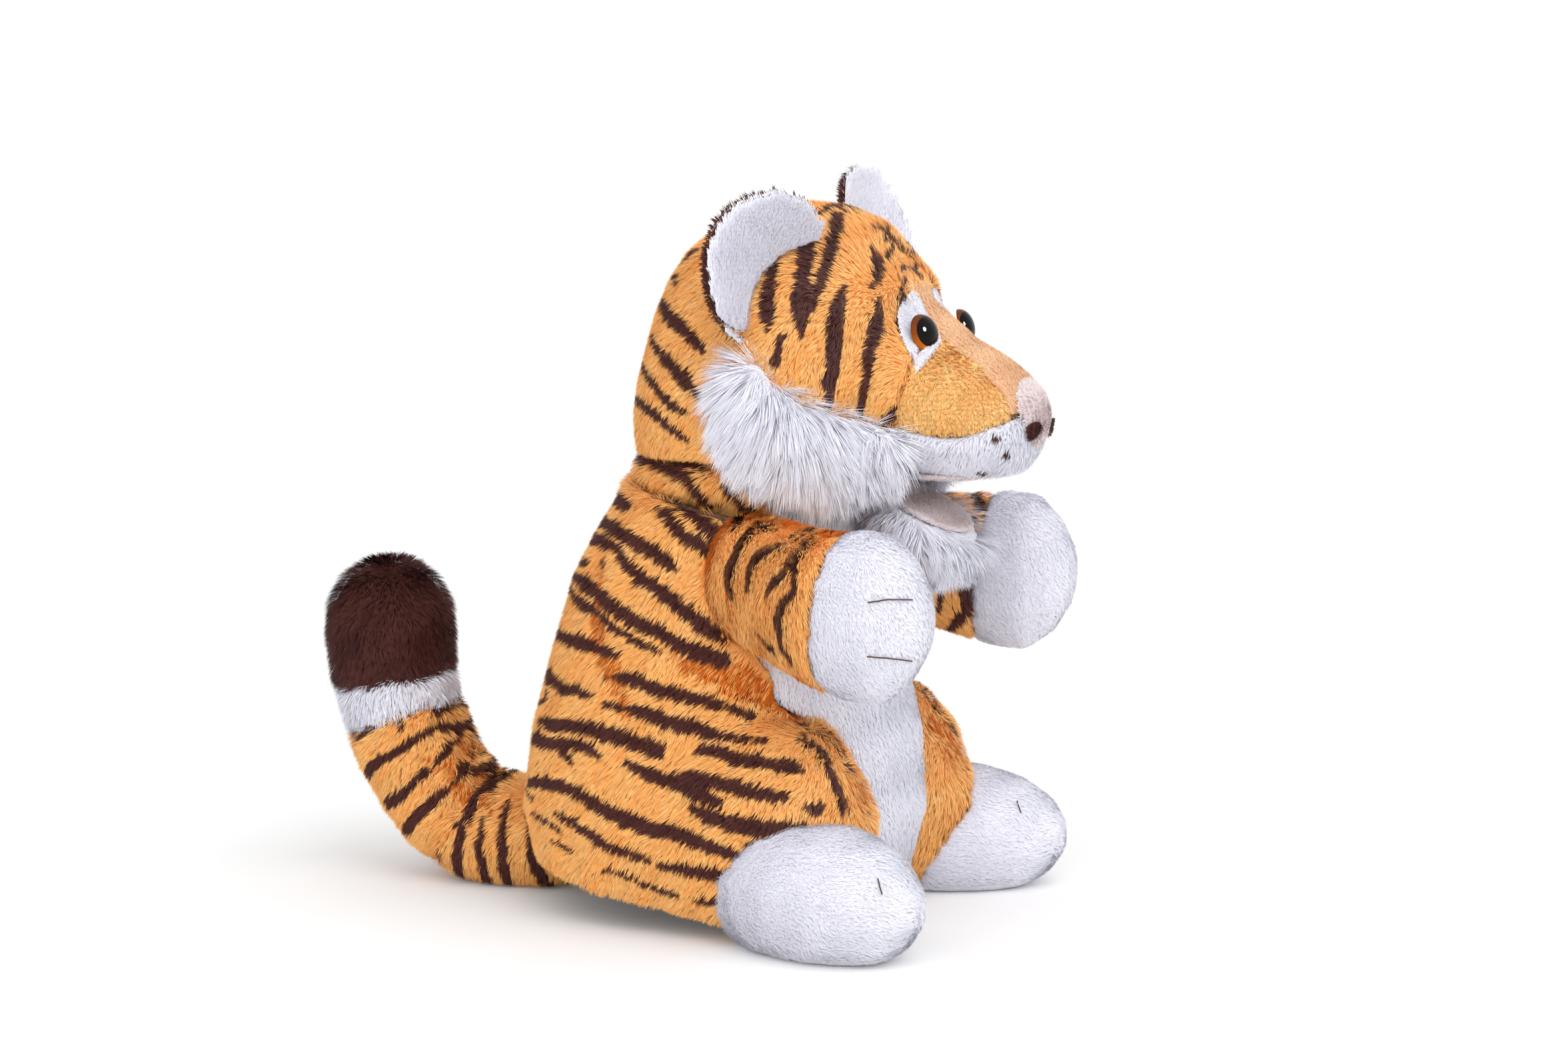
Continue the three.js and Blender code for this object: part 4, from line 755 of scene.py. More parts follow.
def dyed(points, marks, creep=CREEP):
    """True where a point lies inside a stroke. Points are taken in slices by height, each with the marks near
    it."""
    inside = np.zeros(len(points), bool)
    edge = creep * ripple(points)
    reach = marks[:, 3].max() + creep * 2
    order = np.argsort(points[:, 2])
    for part in np.array_split(order, 1 + len(points) // SLICE):
        if not len(part):
            continue
        low, high = points[part].min(axis=0) - reach, points[part].max(axis=0) + reach
        near = marks[np.all((marks[:, :3] > low) & (marks[:, :3] < high), axis=1)]
        if len(near):
            gap = np.linalg.norm(points[part, None] - near[None, :, :3], axis=2) - near[None, :, 3]
            inside[part] = gap.min(axis=1) < edge[part]
    return inside


# %% [markdown]
# A crease is cloth pulled in along a line. The skin there is pressed inward, most on the line itself and
# less and less beside it, before any pile grows.

# %% Creases
CREASE_DEPTH, CREASE_REACH = 2.2 * MM, 5 * MM
TAIL_CREASE_DEPTH, TAIL_CREASE_REACH = 1.6 * MM, 4 * MM


def press_in(node, marks, depth, reach):
    """Moves corners inward by depth * exp(-(gap / reach)^2), gap being the way to the nearest mark."""
    points, normals, _ = surface_of(skins[node])
    gap = np.full(len(points), np.inf)
    for mark in marks:
        gap = np.minimum(gap, np.linalg.norm(points - mark[:3], axis=1))
    move_corners(skins[node], points - normals * depth * np.exp(-((gap / reach) ** 2))[:, None])


for node in SIDE_PANELS:
    press_in(node, crease_marks, CREASE_DEPTH, CREASE_REACH)
for node in TAIL_PIECES:
    press_in(node, tail_crease_marks, TAIL_CREASE_DEPTH, TAIL_CREASE_REACH)
print("creases pressed in along", len(crease_marks) + len(tail_crease_marks), "marks")

# %% [markdown]
# ## Pile
# A blade is a slim kite of two triangles: it stands up from its root, then bends over along the lie of the
# pile. Roots are spread evenly by area. Blades of one small tuft lean together towards the tuft's middle,
# which gives plush its lively, slightly parted look. All blades of a piece are worked out at once. What the
# eye sees of a blade is its outer half, so the dye is the one printed below that half. A fibre is round and
# lets light through, so a blade is lit as the cloth below it is, through normals of its own.


# %% Blades from a skin
def nearest_on_line(points, line):
    """For each point the nearest place on a chain of straight lines, or the one point of a chain of one."""
    line = np.asarray(line, float)
    if len(line) == 1:
        return np.broadcast_to(line[0], points.shape)
    best = np.full(len(points), np.inf)
    found = np.zeros_like(points)
    for start, end in zip(line[:-1], line[1:]):
        run = end - start
        share = np.clip((points - start) @ run / (run @ run), 0, 1)
        place = start + share[:, None] * run
        gap = np.linalg.norm(points - place, axis=1)
        closer = gap < best
        best[closer] = gap[closer]
        found[closer] = place[closer]
    return found


def unit(vectors):
    """The vectors at length 1."""
    return vectors / np.maximum(np.linalg.norm(vectors, axis=-1, keepdims=True), 1e-9)


def across_part(vectors, up):
    """What is left of the vectors once their share along up is taken away."""
    return vectors - np.sum(vectors * up, axis=1, keepdims=True) * up


def sway(points):
    """A slow noise vector, a few sines with wavelengths of about 20 mm: the pile is brushed in patches."""
    x, y, z = (points / MM).T
    waves = [np.sin(0.31 * y + 0.23 * z), np.sin(0.27 * z + 0.35 * x + 1), np.sin(0.29 * x - 0.24 * y + 2)]
    return np.stack(waves, axis=1)


TUFT_RIPPLE, TUFT_TABLE, TUFT_NUMBERS = 0.2, 4096, np.array([73856093, 19349663, 83492791])


def tuft_of(points, size, seed):
    """Four random numbers and a middle for the small cube of space, or tuft, that each point lies in."""
    cells = np.floor(points / size + ripple(points)[:, None] * TUFT_RIPPLE).astype(np.int64)
    number = (cells * TUFT_NUMBERS).sum(axis=1) + seed
    table = np.random.default_rng(seed).random((TUFT_TABLE, 4))
    return table[np.abs(number) % TUFT_TABLE], (cells + 0.5) * size


def scattered(weight, count, chance):
    """Random places on triangles: which triangle each lies on, and its shares of the three corners."""
    pick = np.searchsorted(np.cumsum(weight), chance.random(count) * weight.sum())
    pick = np.minimum(pick, len(weight) - 1)
    first, second = chance.random(count), chance.random(count)
    over = first + second > 1
    first[over], second[over] = 1 - first[over], 1 - second[over]
    return pick, np.stack([1 - first - second, first, second], axis=1)[..., None]


# %% Blades as pieces
MOST_BLADES = 90000


def blade_pieces(name, blades, shade, soft, material):
    """Kites of two triangles over the four places of each blade, in pieces of so many blades at most. U is a
    blade's shade, V runs from its root to its tip, and every corner keeps the blade's soft normal."""
    pieces = []
    for part, some in enumerate(np.array_split(np.arange(len(blades)), 1 + len(blades) // MOST_BLADES)):
        number = len(some)
        part_name = name + ("_" + str(part + 1) if part else "")
        faces = (np.arange(number)[:, None] * 4 + np.array([0, 2, 1, 1, 2, 3])).ravel()
        starts, totals = np.arange(number * 2) * 3, np.full(number * 2, 3)
        mesh = whole_mesh(part_name, blades[some].reshape(-1, 3), faces, starts, totals)
        rise = np.tile([0.0, 0.5, 0.5, 0.5, 0.5, 1.0], number)
        place = np.stack([np.repeat(shade[some], 6), rise], axis=1)
        mesh.uv_layers.new(name="OFBake").data.foreach_set("uv", place.astype(np.float32).ravel())
        shine = mesh.attributes.new("custom_normal", "FLOAT_VECTOR", "POINT")
        shine.data.foreach_set("vector", np.repeat(soft[some], 4, axis=0).astype(np.float32).ravel())
        pieces.append(link(part_name, mesh, material))
    return pieces


# %% Pile on a skin
LOWER_LEAN, UPPER_LEAN, LEAN_NOISE = 0.85, 1.12, 0.25
FLOW_NOISE, FLOW_SWAY = 0.3, 0.25
TUFT_DRAW, LOWER_DRAW, UPPER_DRAW = 0.4, 0.3, 0.7
BLADE_TWIST, BLADE_THINNEST, BLADE_BROADER = 0.6, 0.7, 0.6
OWN_SHINE, PRINTED_AT, OFF_THE_FLOOR = 0.2, 0.88, 0.3 * MM
TUFT_SHADE, BLADE_SHADE, SWAY_SHADE = 0.3, 0.55, 0.15
SHADE_FROM, SHADE_SPAN = 0.12, 0.76


def grow_pile(node, cloth, dyes, line, lie, length, lean, per_mm2, width=0.14 * MM, tuft=1.7 * MM,
              shown=None, cut=0.1, uneven=0.3, wild=0.4, rough=0.7, ending="_pile"):
    """Piles on the node's skin, on the faces that look away from line.

    The middle of a blade is root + half length * (normal * cos + lie * sin) of LOWER_LEAN of the lean. Its
    tip goes on from there at UPPER_LEAN of the lean. Both are drawn towards the middle of the blade's tuft.
    Its dye is the one below PRINTED_AT of the way from root to tip. rough is how far the tufts differ in the
    light that they catch."""
    material, palette, _ = cloth
    seed = sum(ord(letter) * (place + 1) for place, letter in enumerate(node))
    chance = np.random.default_rng(seed)
    points, normals, corners = surface_of(skins[node])
    a, b, c = points[corners[:, 0]], points[corners[:, 1]], points[corners[:, 2]]
    span = np.cross(b - a, c - a)
    middle, facing = (a + b + c) / 3, unit(span)
    away = np.sum(facing * unit(middle - nearest_on_line(middle, line)), axis=1) > cut
    if shown is not None:
        away &= shown(middle, facing)
    weight = np.where(away, np.linalg.norm(span, axis=1) / 2, 0)
    count = int(weight.sum() / MM**2 * per_mm2)
    pick, share = scattered(weight, count, chance)
    root = (points[corners[pick]] * share).sum(axis=1)
    up = unit((normals[corners[pick]] * share).sum(axis=1))
    luck, tuft_middle = tuft_of(root, tuft, seed)
    flow = lie(root, up) + wild * (luck[:, :3] - 0.5) + FLOW_NOISE * (chance.random((count, 3)) - 0.5)
    flow = unit(across_part(flow + FLOW_SWAY * sway(root), up))
    reach = length * (1 - uneven / 2 + uneven * (0.5 * luck[:, 3:] + 0.5 * chance.random((count, 1))))
    tilt = np.radians(lean) + LEAN_NOISE * (chance.random((count, 1)) - 0.5)
    draw = across_part(tuft_middle - root, up) * TUFT_DRAW
    lower, upper = tilt * LOWER_LEAN, tilt * UPPER_LEAN
    half = root + reach * 0.5 * (up * np.cos(lower) + flow * np.sin(lower)) + draw * LOWER_DRAW
    tip = half + reach * 0.5 * (up * np.cos(upper) + flow * np.sin(upper)) + draw * UPPER_DRAW
    across = unit(np.cross(flow, up) + BLADE_TWIST * up * (chance.random((count, 1)) - 0.5))
    broad = across * width * (BLADE_THINNEST + BLADE_BROADER * chance.random((count, 1)))
    blades = np.stack([root, half - broad, half + broad, tip], axis=1)
    blades[..., 2] = np.maximum(blades[..., 2], OFF_THE_FLOOR)
    soft = unit(up + rough * (luck[:, :3] - 0.5) + OWN_SHINE * unit(np.cross(across, tip - root)))
    zone = dyes(root + PRINTED_AT * across_part(tip - root, up), chance)
    brushed = 0.5 + 0.5 * sway(root)[:, 0]
    lightness = TUFT_SHADE * luck[:, 0] + BLADE_SHADE * chance.random(count) + SWAY_SHADE * brushed
    shade = (zone + SHADE_FROM + SHADE_SPAN * lightness) / len(palette)
    print(node, count, "blades")
    return blade_pieces(node + ending, blades, shade, soft, material)


# %% [markdown]
# ## Which way the pile lies
# Pile lies the way the cloth was cut: down and back on the body, forward on the paws and feet, away from the
# cheek on the ruff. Each lie is a small function of the place on the piece.


# %% The lie of the pile and each piece's inside
def lies(x, y, z):
    """The same direction everywhere."""
    return lambda root, up: np.broadcast_to(np.array([x, y, z], float), root.shape)


def out_from(centre, down):
    """Away from a centre, drawn down by a share."""
    return lambda root, up: unit(root - np.array(centre)) + np.array([0, 0, -down])


TORSO_LINE = [(0, -0.0185, 0.0), (0, -0.019, 0.09), (0, -0.024, 0.125)]
HEAD_LINE = [(0, -0.048, 0.200), (0, -0.039, 0.160)]
MUZZLE_LINE = [(0, -0.050, 0.185), (0, -0.115, 0.166)]
TAIL_LINE = [
    (0, 0.040, 0.0175), (0, 0.0701, 0.018), (0, 0.0881, 0.0265), (0, 0.1021, 0.045),
    (0, 0.1101, 0.066), (0, 0.1121, 0.088), (0, 0.1116, 0.1),
]


def arm_line(side):
    """The arm's middle line from shoulder to paw."""
    one_side = [(0.044, -0.0469, 0.116), (0.062, -0.0789, 0.1115), (0.066, -0.108, 0.109)]
    return np.array(one_side) * [side, 1, 1]


def foot_line(side):
    """The foot's middle line from heel to toe."""
    return [(side * 0.050, -0.056, 0.018), (side * 0.064, -0.095, 0.018)]


# %% Which dye a blade takes
# Painted crease shade: how far from a crease line, and on what share of its blades, the shade is painted.
CREASE_SHADE_CREEP, CREASE_SHADE_SHARE = 1.4 * MM, 0.75
COLLAR_FRONT, COLLAR_HEIGHT, COLLAR_SLOPE = -0.048, 0.140, 0.4


def striped(marks, creases=None, white_front=False):
    """Orange, brown in a stroke, painted shade in deep orange on some crease blades, white on the neck's
    front.
    """
    def dyes(root, chance):
        zone = np.full(len(root), ORANGE_DYE)
        if creases is not None:
            deep = dyed(root, creases, CREASE_SHADE_CREEP) & (chance.random(len(root)) < CREASE_SHADE_SHARE)
            zone[deep] = PAINTED_CREASE_SHADE_DYE
        zone[dyed(root, marks)] = BROWN_DYE
        if white_front:
            zone[root[:, 1] < COLLAR_FRONT + COLLAR_SLOPE * (root[:, 2] - COLLAR_HEIGHT)] = WHITE_DYE
        return zone
    return dyes


def spotted(marks):
    """White, with brown inside a mark."""
    return lambda root, chance: dyed(root, marks).astype(int)


def first_dye(root, chance):
    """The palette's first dye everywhere."""
    return np.zeros(len(root), int)


# %% Dressing a piece
SKIN_SEED, FULLNESS = 1, 0.6


def colour_skin(node, palette, dyes):
    """Stores on the skin the middle shade of the dye that its pile has there, painted crease shade included.
    """
    points, _, _ = surface_of(skins[node])
    middles = np.array(palette).mean(axis=1)
    colours = middles[dyes(points, np.random.default_rng(SKIN_SEED))]
    layer = skins[node].data.attributes.new("dye", "FLOAT_COLOR", "POINT")
    layer.data.foreach_set("color", colours.astype(np.float32).ravel())


def dress(node, body, cloth, dyes=first_dye, bend=None, **pile):
    """Finishes a plush piece: skin and pile go with the piece's body, or, given bend, keep their places with
    no body; the skin stands for its solid."""
    _, palette, slot = cloth
    skin = skins[node]
    colour_skin(node, palette, dyes)
    grown = grow_pile(node, cloth, dyes, **pile)
    for piece in [skin, *grown]:
        if bend:
            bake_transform(piece)
        else:
            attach(piece, body)
    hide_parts(node)


# %% [markdown]
# ## Body, neck and arms
# The body is a bag of two striped side panels and a white belly panel. The sleeves are sewn from the same
# striped cloth, the paws and feet from white. The neck tube is caught to the collar below and to the head
# above; its skin and pile keep their places and go with no body.

# %% Body, neck and arms
DOWN_BACK, DOWN = lies(0, 0.6, -1), lies(0, 0, -1)
FINE_PILE = {"width": 0.12 * MM, "rough": 0.3}
SOLE_FACING, SOLE_HEIGHT, COLLAR_TOP = -0.7, 2 * MM, 0.132
NECK_BEND = ("neck", "head", (0, -0.0354, 0.146), (0, -0.0354, 0.157))


def off_the_sole(middle, facing):
    """False on the flat sole that stands on the floor, true elsewhere."""
    return (facing[:, 2] > SOLE_FACING) | (middle[:, 2] > SOLE_HEIGHT)


def above_collar(middle, facing):
    """True on the part of the neck that isn't tucked into the body."""
    return middle[:, 2] > COLLAR_TOP


for word, side in SIDES.items():
    dress("side_panel_" + word, "torso", STRIPED_PLUSH, striped(body_marks, crease_marks),
          line=TORSO_LINE, lie=DOWN_BACK, length=4.5 * MM, lean=62, per_mm2=4.45)
    dress("arm_sleeve_" + word, "arm_" + word, STRIPED_PLUSH, striped(arm_marks),
          line=arm_line(side), lie=lies(0.2 * side, -0.6, -1), length=4.3 * MM, lean=62, per_mm2=4.8)
    dress("paw_" + word, "arm_" + word, WHITE_PLUSH, line=arm_line(side), lie=lies(0, -0.7, -1),
          length=2.2 * MM, lean=66, per_mm2=7, tuft=1.2 * MM, **FINE_PILE)
    dress("foot_" + word, "foot_" + word, WHITE_PLUSH, line=foot_line(side), lie=lies(0, -1, -0.3),
          length=2.2 * MM, lean=66, per_mm2=6.3, tuft=1.2 * MM, cut=-0.4, shown=off_the_sole, **FINE_PILE)
dress("belly_panel", "torso", WHITE_PLUSH, line=TORSO_LINE, lie=lies(0, -0.2, -1),
      length=2.6 * MM, lean=66, per_mm2=5.5, tuft=1.4 * MM, **FINE_PILE)
dress("neck_gusset", "neck", STRIPED_PLUSH, striped(body_marks, white_front=True), bend=NECK_BEND,
      line=[(0, -0.0354, 0.148)], lie=DOWN_BACK, length=5 * MM, lean=58, per_mm2=3.6, shown=above_collar)

# %% [markdown]
# ## Tail
# The tail is a stuffed tube of striped plush in two parts, with a white band and a brown tip sewn on. Its
# pile is a little longer than the body's.

# %% Tail
for node, body in {"tail_root": "tail_base", "tail_end": "tail_end"}.items():
    dress(node, body, STRIPED_PLUSH, striped(tail_marks, tail_crease_marks),
          line=TAIL_LINE, lie=lies(0, 0.4, -1), length=5 * MM, lean=56, per_mm2=4.8)
dress("tail_band", "tail_end", WHITE_PLUSH, line=TAIL_LINE, lie=DOWN, length=5 * MM, lean=56, per_mm2=5)
dress("tail_tip", "tail_end", BROWN_PLUSH, line=TAIL_LINE, lie=DOWN, length=5.6 * MM, lean=50, per_mm2=5.5)

# %% [markdown]
# ## Eye patches
# A white leaf of short plush sits under each eye. Its outline is read off the photograph. Rings that shrink
# from the outline to its middle are carried onto the face along the lines of sight, and a second layer
# behind them closes the leaf. No pile grows on the face beneath it.

# %% Eye patches
FACE_NODES = ["head_panel_right", "cheek_right", "nose_bridge"]
PATCH_LIFT, PATCH_THICK, PATCH_RINGS, PATCH_CORE = 2.0 * MM, 1.4 * MM, 12, 0.06
CLEARED_SIZE, FACE_FRONT = 1.1, -0.05
PATCH_MIDDLE = np.mean(PATCH_OUTLINE, axis=0)
CLEARED = [tuple(PATCH_MIDDLE + CLEARED_SIZE * (np.array(place) - PATCH_MIDDLE)) for place in PATCH_OUTLINE]


def pixels_of(points):
    """Where the camera sees points: their sideways and upward share of their depth, in pixels."""
    gap = points - eye_point
    depth = gap @ -towards_camera
    flat = np.stack([gap @ rightward, -(gap @ upward)], axis=1) / depth[:, None]
    return flat * LENS / SENSOR * PHOTO_SIZE[0] + PHOTO_SIZE / 2


# %% Leaf shapes
def within(pixels, outline):
    """True inside a closed outline: a line to the right crosses its sides an odd number of times."""
    inside = np.zeros(len(pixels), bool)
    for (x1, y1), (x2, y2) in zip(outline, outline[1:] + outline[:1]):
        spans = (y1 > pixels[:, 1]) != (y2 > pixels[:, 1])
        crossing = x1 + (pixels[:, 1] - y1) * (x2 - x1) / ((y2 - y1) or 1e-9)
        inside ^= spans & (pixels[:, 0] < crossing)
    return inside


def bare_face(middle, facing):
    """False on the face beneath a patch, true elsewhere; the left side is tested by its mirror image."""
    mirrored = middle * [0, 1, 1] - np.abs(middle) * [1, 0, 0]
    return ~(within(pixels_of(mirrored), CLEARED) & (middle[:, 1] < FACE_FRONT))


def ringed_mesh(name, rings, rise=None):
    """A closed surface over rings of places, given as an array of rings by corners by x, y, z: squares
    between neighbours and a flat cap on both ends. rise, one number per corner, becomes V of its map, and U
    is the corner's share of the ring."""
    count, around = rings.shape[:2]
    corner = np.arange(around)
    after = (corner + 1) % around
    rows = np.arange(count - 1)[:, None] * around
    squares = np.stack([rows + corner, rows + after, rows + around + after, rows + around + corner], axis=-1)
    flat = np.concatenate([squares.ravel(), corner[::-1], (count - 1) * around + corner])
    totals = np.append(np.full(squares.size // 4, 4), [around, around])
    mesh = whole_mesh(name, rings.reshape(-1, 3), flat, np.cumsum(totals) - totals, totals)
    mesh.shade_smooth()
    if rise is not None:
        once = np.stack([corner, corner + 1, corner + 1, corner], axis=-1)
        turn = np.broadcast_to(once, (count - 1, around, 4))
        turn = np.concatenate([turn.ravel(), corner[::-1], corner]) / around
        place = np.stack([turn, rise.ravel()[flat]], axis=1)
        mesh.uv_layers.new(name="OFBake").data.foreach_set("uv", place.astype(np.float32).ravel())
    return mesh


# %% Leaves under the eyes
outline = np.array(PATCH_OUTLINE, float)
steps = np.linspace(PATCH_CORE, 1, PATCH_RINGS)[:, None, None]
leaf_pixels = PATCH_MIDDLE + steps * (outline - PATCH_MIDDLE)
rays = lines_of_sight(leaf_pixels.reshape(-1, 2))
face_trees = trees_of(FACE_NODES)
depths = [[tree.ray_cast(Vector(eye_point), Vector(ray))[3] or np.inf for tree in face_trees] for ray in rays]
depth = np.min(depths, axis=1)
depth[np.isinf(depth)] = np.median(depth)
front = (eye_point + rays * (depth - PATCH_LIFT)[:, None]).reshape(PATCH_RINGS, -1, 3)
back = (eye_point + rays * (depth - PATCH_LIFT + PATCH_THICK)[:, None]).reshape(PATCH_RINGS, -1, 3)
leaf = np.concatenate([back, front[::-1]])
for word, side in SIDES.items():
    node = "eye_patch_" + word
    rings = leaf if side < 0 else leaf[:, ::-1] * [-1, 1, 1]
    skins[node] = link(node + "_skin", ringed_mesh(node + "_skin", rings), backing)
    dress(node, "head", WHITE_FELT, line=[(side * 0.005, -0.05, 0.19)], lie=DOWN,
          length=1.0 * MM, lean=68, per_mm2=14, width=0.09 * MM, tuft=MM, rough=0.2)

# %% [markdown]
# ## Head
# The top and sides are striped plush. The bridge of the nose and the nose are shaved short, the cheeks carry
# a short curly pile, and the ruff and the chin a long one.

# %% Where the head's cloths meet and lie
BRIDGE_EDGE, BRIDGE_FALL = 0.2105, 0.25
CROWN_FACING, CROWN_TURN, CROWN_LIE = np.array([0.0, -0.6, 1.0]), 1.4, np.array([0.0, 1.0, 0.6])


def brow(middle, facing):
    """True above the place where the striped cloth of the brow takes over from the shaved bridge."""
    return middle[:, 2] > BRIDGE_EDGE - BRIDGE_FALL * np.abs(middle[:, 0])


def shaved_bridge(middle, facing):
    """True below that place, except beneath the eye patches."""
    return bare_face(middle, facing) & ~brow(middle, facing)


def head_lie(root, up):
    """Down and back at the sides, and back over the crown where down and back would point into the head."""
    into = np.clip(up @ unit(CROWN_FACING), 0, 1)[:, None]
    return DOWN_BACK(root, up) + CROWN_TURN * into**2 * CROWN_LIE


# %% Head
BACK = lies(0, 1, 0)
for word, side in SIDES.items():
    dress("head_panel_" + word, "head", STRIPED_PLUSH, striped(head_marks),
          line=HEAD_LINE, lie=head_lie, length=4 * MM, lean=64, per_mm2=5, shown=bare_face)
    dress("cheek_" + word, "head", CHEEK_PLUSH, line=MUZZLE_LINE, lie=lies(0, 0.2, -1), length=1.8 * MM,
          lean=58, per_mm2=9, tuft=1.5 * MM, wild=1.2, rough=1.0, shown=bare_face)
    dress("ruff_" + word, "head", WHITE_PLUSH, line=[(0, -0.044, 0.180)],
          lie=out_from((side * 0.05, -0.065, 0.186), 0.9), length=13 * MM, lean=58, per_mm2=6,
          cut=-0.2, tuft=4 * MM, uneven=0.6, wild=1.0, rough=0.4)
dress("nose_bridge", "head", BEIGE_PLUSH, line=MUZZLE_LINE, lie=lies(0, 1, 0.4), length=1.4 * MM, lean=60,
      per_mm2=9, width=0.12 * MM, rough=0.4, shown=shaved_bridge)
brow_pile = grow_pile("nose_bridge", STRIPED_PLUSH, striped(head_marks), line=MUZZLE_LINE, lie=head_lie,
                      length=2.6 * MM, lean=68, per_mm2=5, shown=brow, ending="_brow_pile")
for piece in brow_pile:
    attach(piece, "head")

# %% Muzzle and jaw
dress("nose", "head", PINK_PLUSH, line=MUZZLE_LINE, lie=BACK,
      length=1.2 * MM, lean=50, per_mm2=12, **FINE_PILE)
for word in SIDES:
    dress("nostril_" + word, "head", BROWN_PLUSH, line=[(0, -0.1, 0.185)], lie=BACK,
          length=0.9 * MM, lean=40, per_mm2=12, width=0.12 * MM)
dress("upper_lip", "head", WHITE_PLUSH, spotted(lip_marks), line=MUZZLE_LINE, lie=lies(0, 0.5, -1),
      length=3.0 * MM, lean=62, per_mm2=7.5, width=0.12 * MM, tuft=1.3 * MM, rough=0.4)
dress("upper_palate", "head", PINK_PLUSH, line=[(0, -0.095, 0.18)], lie=BACK,
      length=1.0 * MM, lean=45, per_mm2=6, **FINE_PILE)
dress("lower_palate", "jaw", PINK_PLUSH, line=[(0, -0.095, 0.11)], lie=BACK,
      length=1.0 * MM, lean=45, per_mm2=8, **FINE_PILE)
dress("chin", "jaw", WHITE_PLUSH, line=[(0, -0.089, 0.150)], lie=out_from((0, -0.085, 0.150), 0.7),
      length=12 * MM, lean=50, per_mm2=6.5, tuft=3 * MM, uneven=0.6, wild=1.1, rough=0.4, cut=-0.25)

# %% [markdown]
# ## Ears
# An ear is a leaf of two layers, short white plush in front and brown plush behind. Each layer carries pile
# only on the side that looks out.

# %% Ears
EAR_FACING = {"left": (-0.16, -0.97, 0.15), "right": (-0.62, -0.77, 0.12)}
EAR_STAND, EAR_RISE = 0.04, np.array([0.0, 0.0, 0.3])
for word, side in SIDES.items():
    low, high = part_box("ear_front_" + word)
    ear_middle = np.array((low + high) / 2)
    front = unit(np.array(EAR_FACING[word]))
    dress("ear_front_" + word, "ear_" + word, WHITE_PLUSH, line=[ear_middle - EAR_STAND * front],
          lie=lies(side * 0.3, 0, 1), length=2.1 * MM, lean=66, per_mm2=9, width=0.1 * MM, tuft=1.4 * MM,
          cut=0.2, rough=0.3)
    dress("ear_back_" + word, "ear_" + word, BROWN_PLUSH, line=[ear_middle + EAR_STAND * front],
          lie=lies(*(EAR_RISE - front)), length=2.8 * MM, lean=60, per_mm2=8, cut=0.05)

# %% [markdown]
# ## Eyes
# A safety eye is a glossy plastic dome on a shank. The dome is turned here as rings round the eye's axis. Its
# seat is measured on the solid, along that axis from the middle of the shank's end, and it sinks as far as
# the washer pulls the face in. The pupil is a black round in the amber, turned to where the eye looks. The
# amber carries painted light: a painted shade at the top and at the rim, and a painted gold glint low down.

# %% Eyes
GAZE = {"left": (-0.35, -0.9, 0.25), "right": (-0.48, -0.84, 0.25)}
EYE_RADIUS, EYE_DOME, EYE_SINK = 6.25 * MM, 4.4 * MM, EYE_PULL
RINGS, ROUND, SHANK_END, FOOT_BREADTH, TOP_GAP = 28, 64, 0.2 * MM, 0.02, 0.02


def node_points(node):
    """The corner places of a solid."""
    mesh = frame["nodes"][node].data
    places = np.empty(len(mesh.vertices) * 3)
    mesh.vertices.foreach_get("co", places)
    return places.reshape(-1, 3)


eye_material, tree, sockets = new_material("amber_eye", Roughness=0.04, Specular_IOR_Level=0.14)
# Painted light on the amber round the pupil: darker at the top, a gold glint at the bottom and a darker rim,
# for light seen through the clear dome.
AMBER, PAINTED_SHADE_AMBER = paint(132, 62, 12), paint(74, 34, 8)
PAINTED_LIT_AMBER, PAINTED_GLINT_GOLD = paint(200, 106, 16), paint(255, 202, 60)
AMBER_ROUND_PAINTED_LIGHT = [(0.0, AMBER), (0.25, PAINTED_SHADE_AMBER), (0.5, AMBER), (0.66, PAINTED_LIT_AMBER), (0.75, PAINTED_GLINT_GOLD)]
AMBER_ROUND_PAINTED_LIGHT += [(0.84, PAINTED_LIT_AMBER), (1.0, AMBER)]
PUPIL_BLACK, MASK_BLACK, PAINTED_RIM_SHADE = paint(9, 8, 9), (0, 0, 0, 1), (0.35, 0.3, 0.25, 1)
PUPIL_MASK = [(0.0, MASK_BLACK), (0.77, MASK_BLACK), (0.79, NO_TINT), (0.94, NO_TINT), (1.0, PAINTED_RIM_SHADE)]
turned, outness = map_place(tree)
amber = add_node(tree, "ShaderNodeValToRGB", {"stops": AMBER_ROUND_PAINTED_LIGHT}, {0: turned})
beyond = add_node(tree, "ShaderNodeValToRGB", {"stops": PUPIL_MASK}, {0: outness})
tree.links.new(mixed(tree, beyond, PUPIL_BLACK, amber).socket, sockets["Base Color"])
print("amber eye:", len(tree.nodes), "nodes")

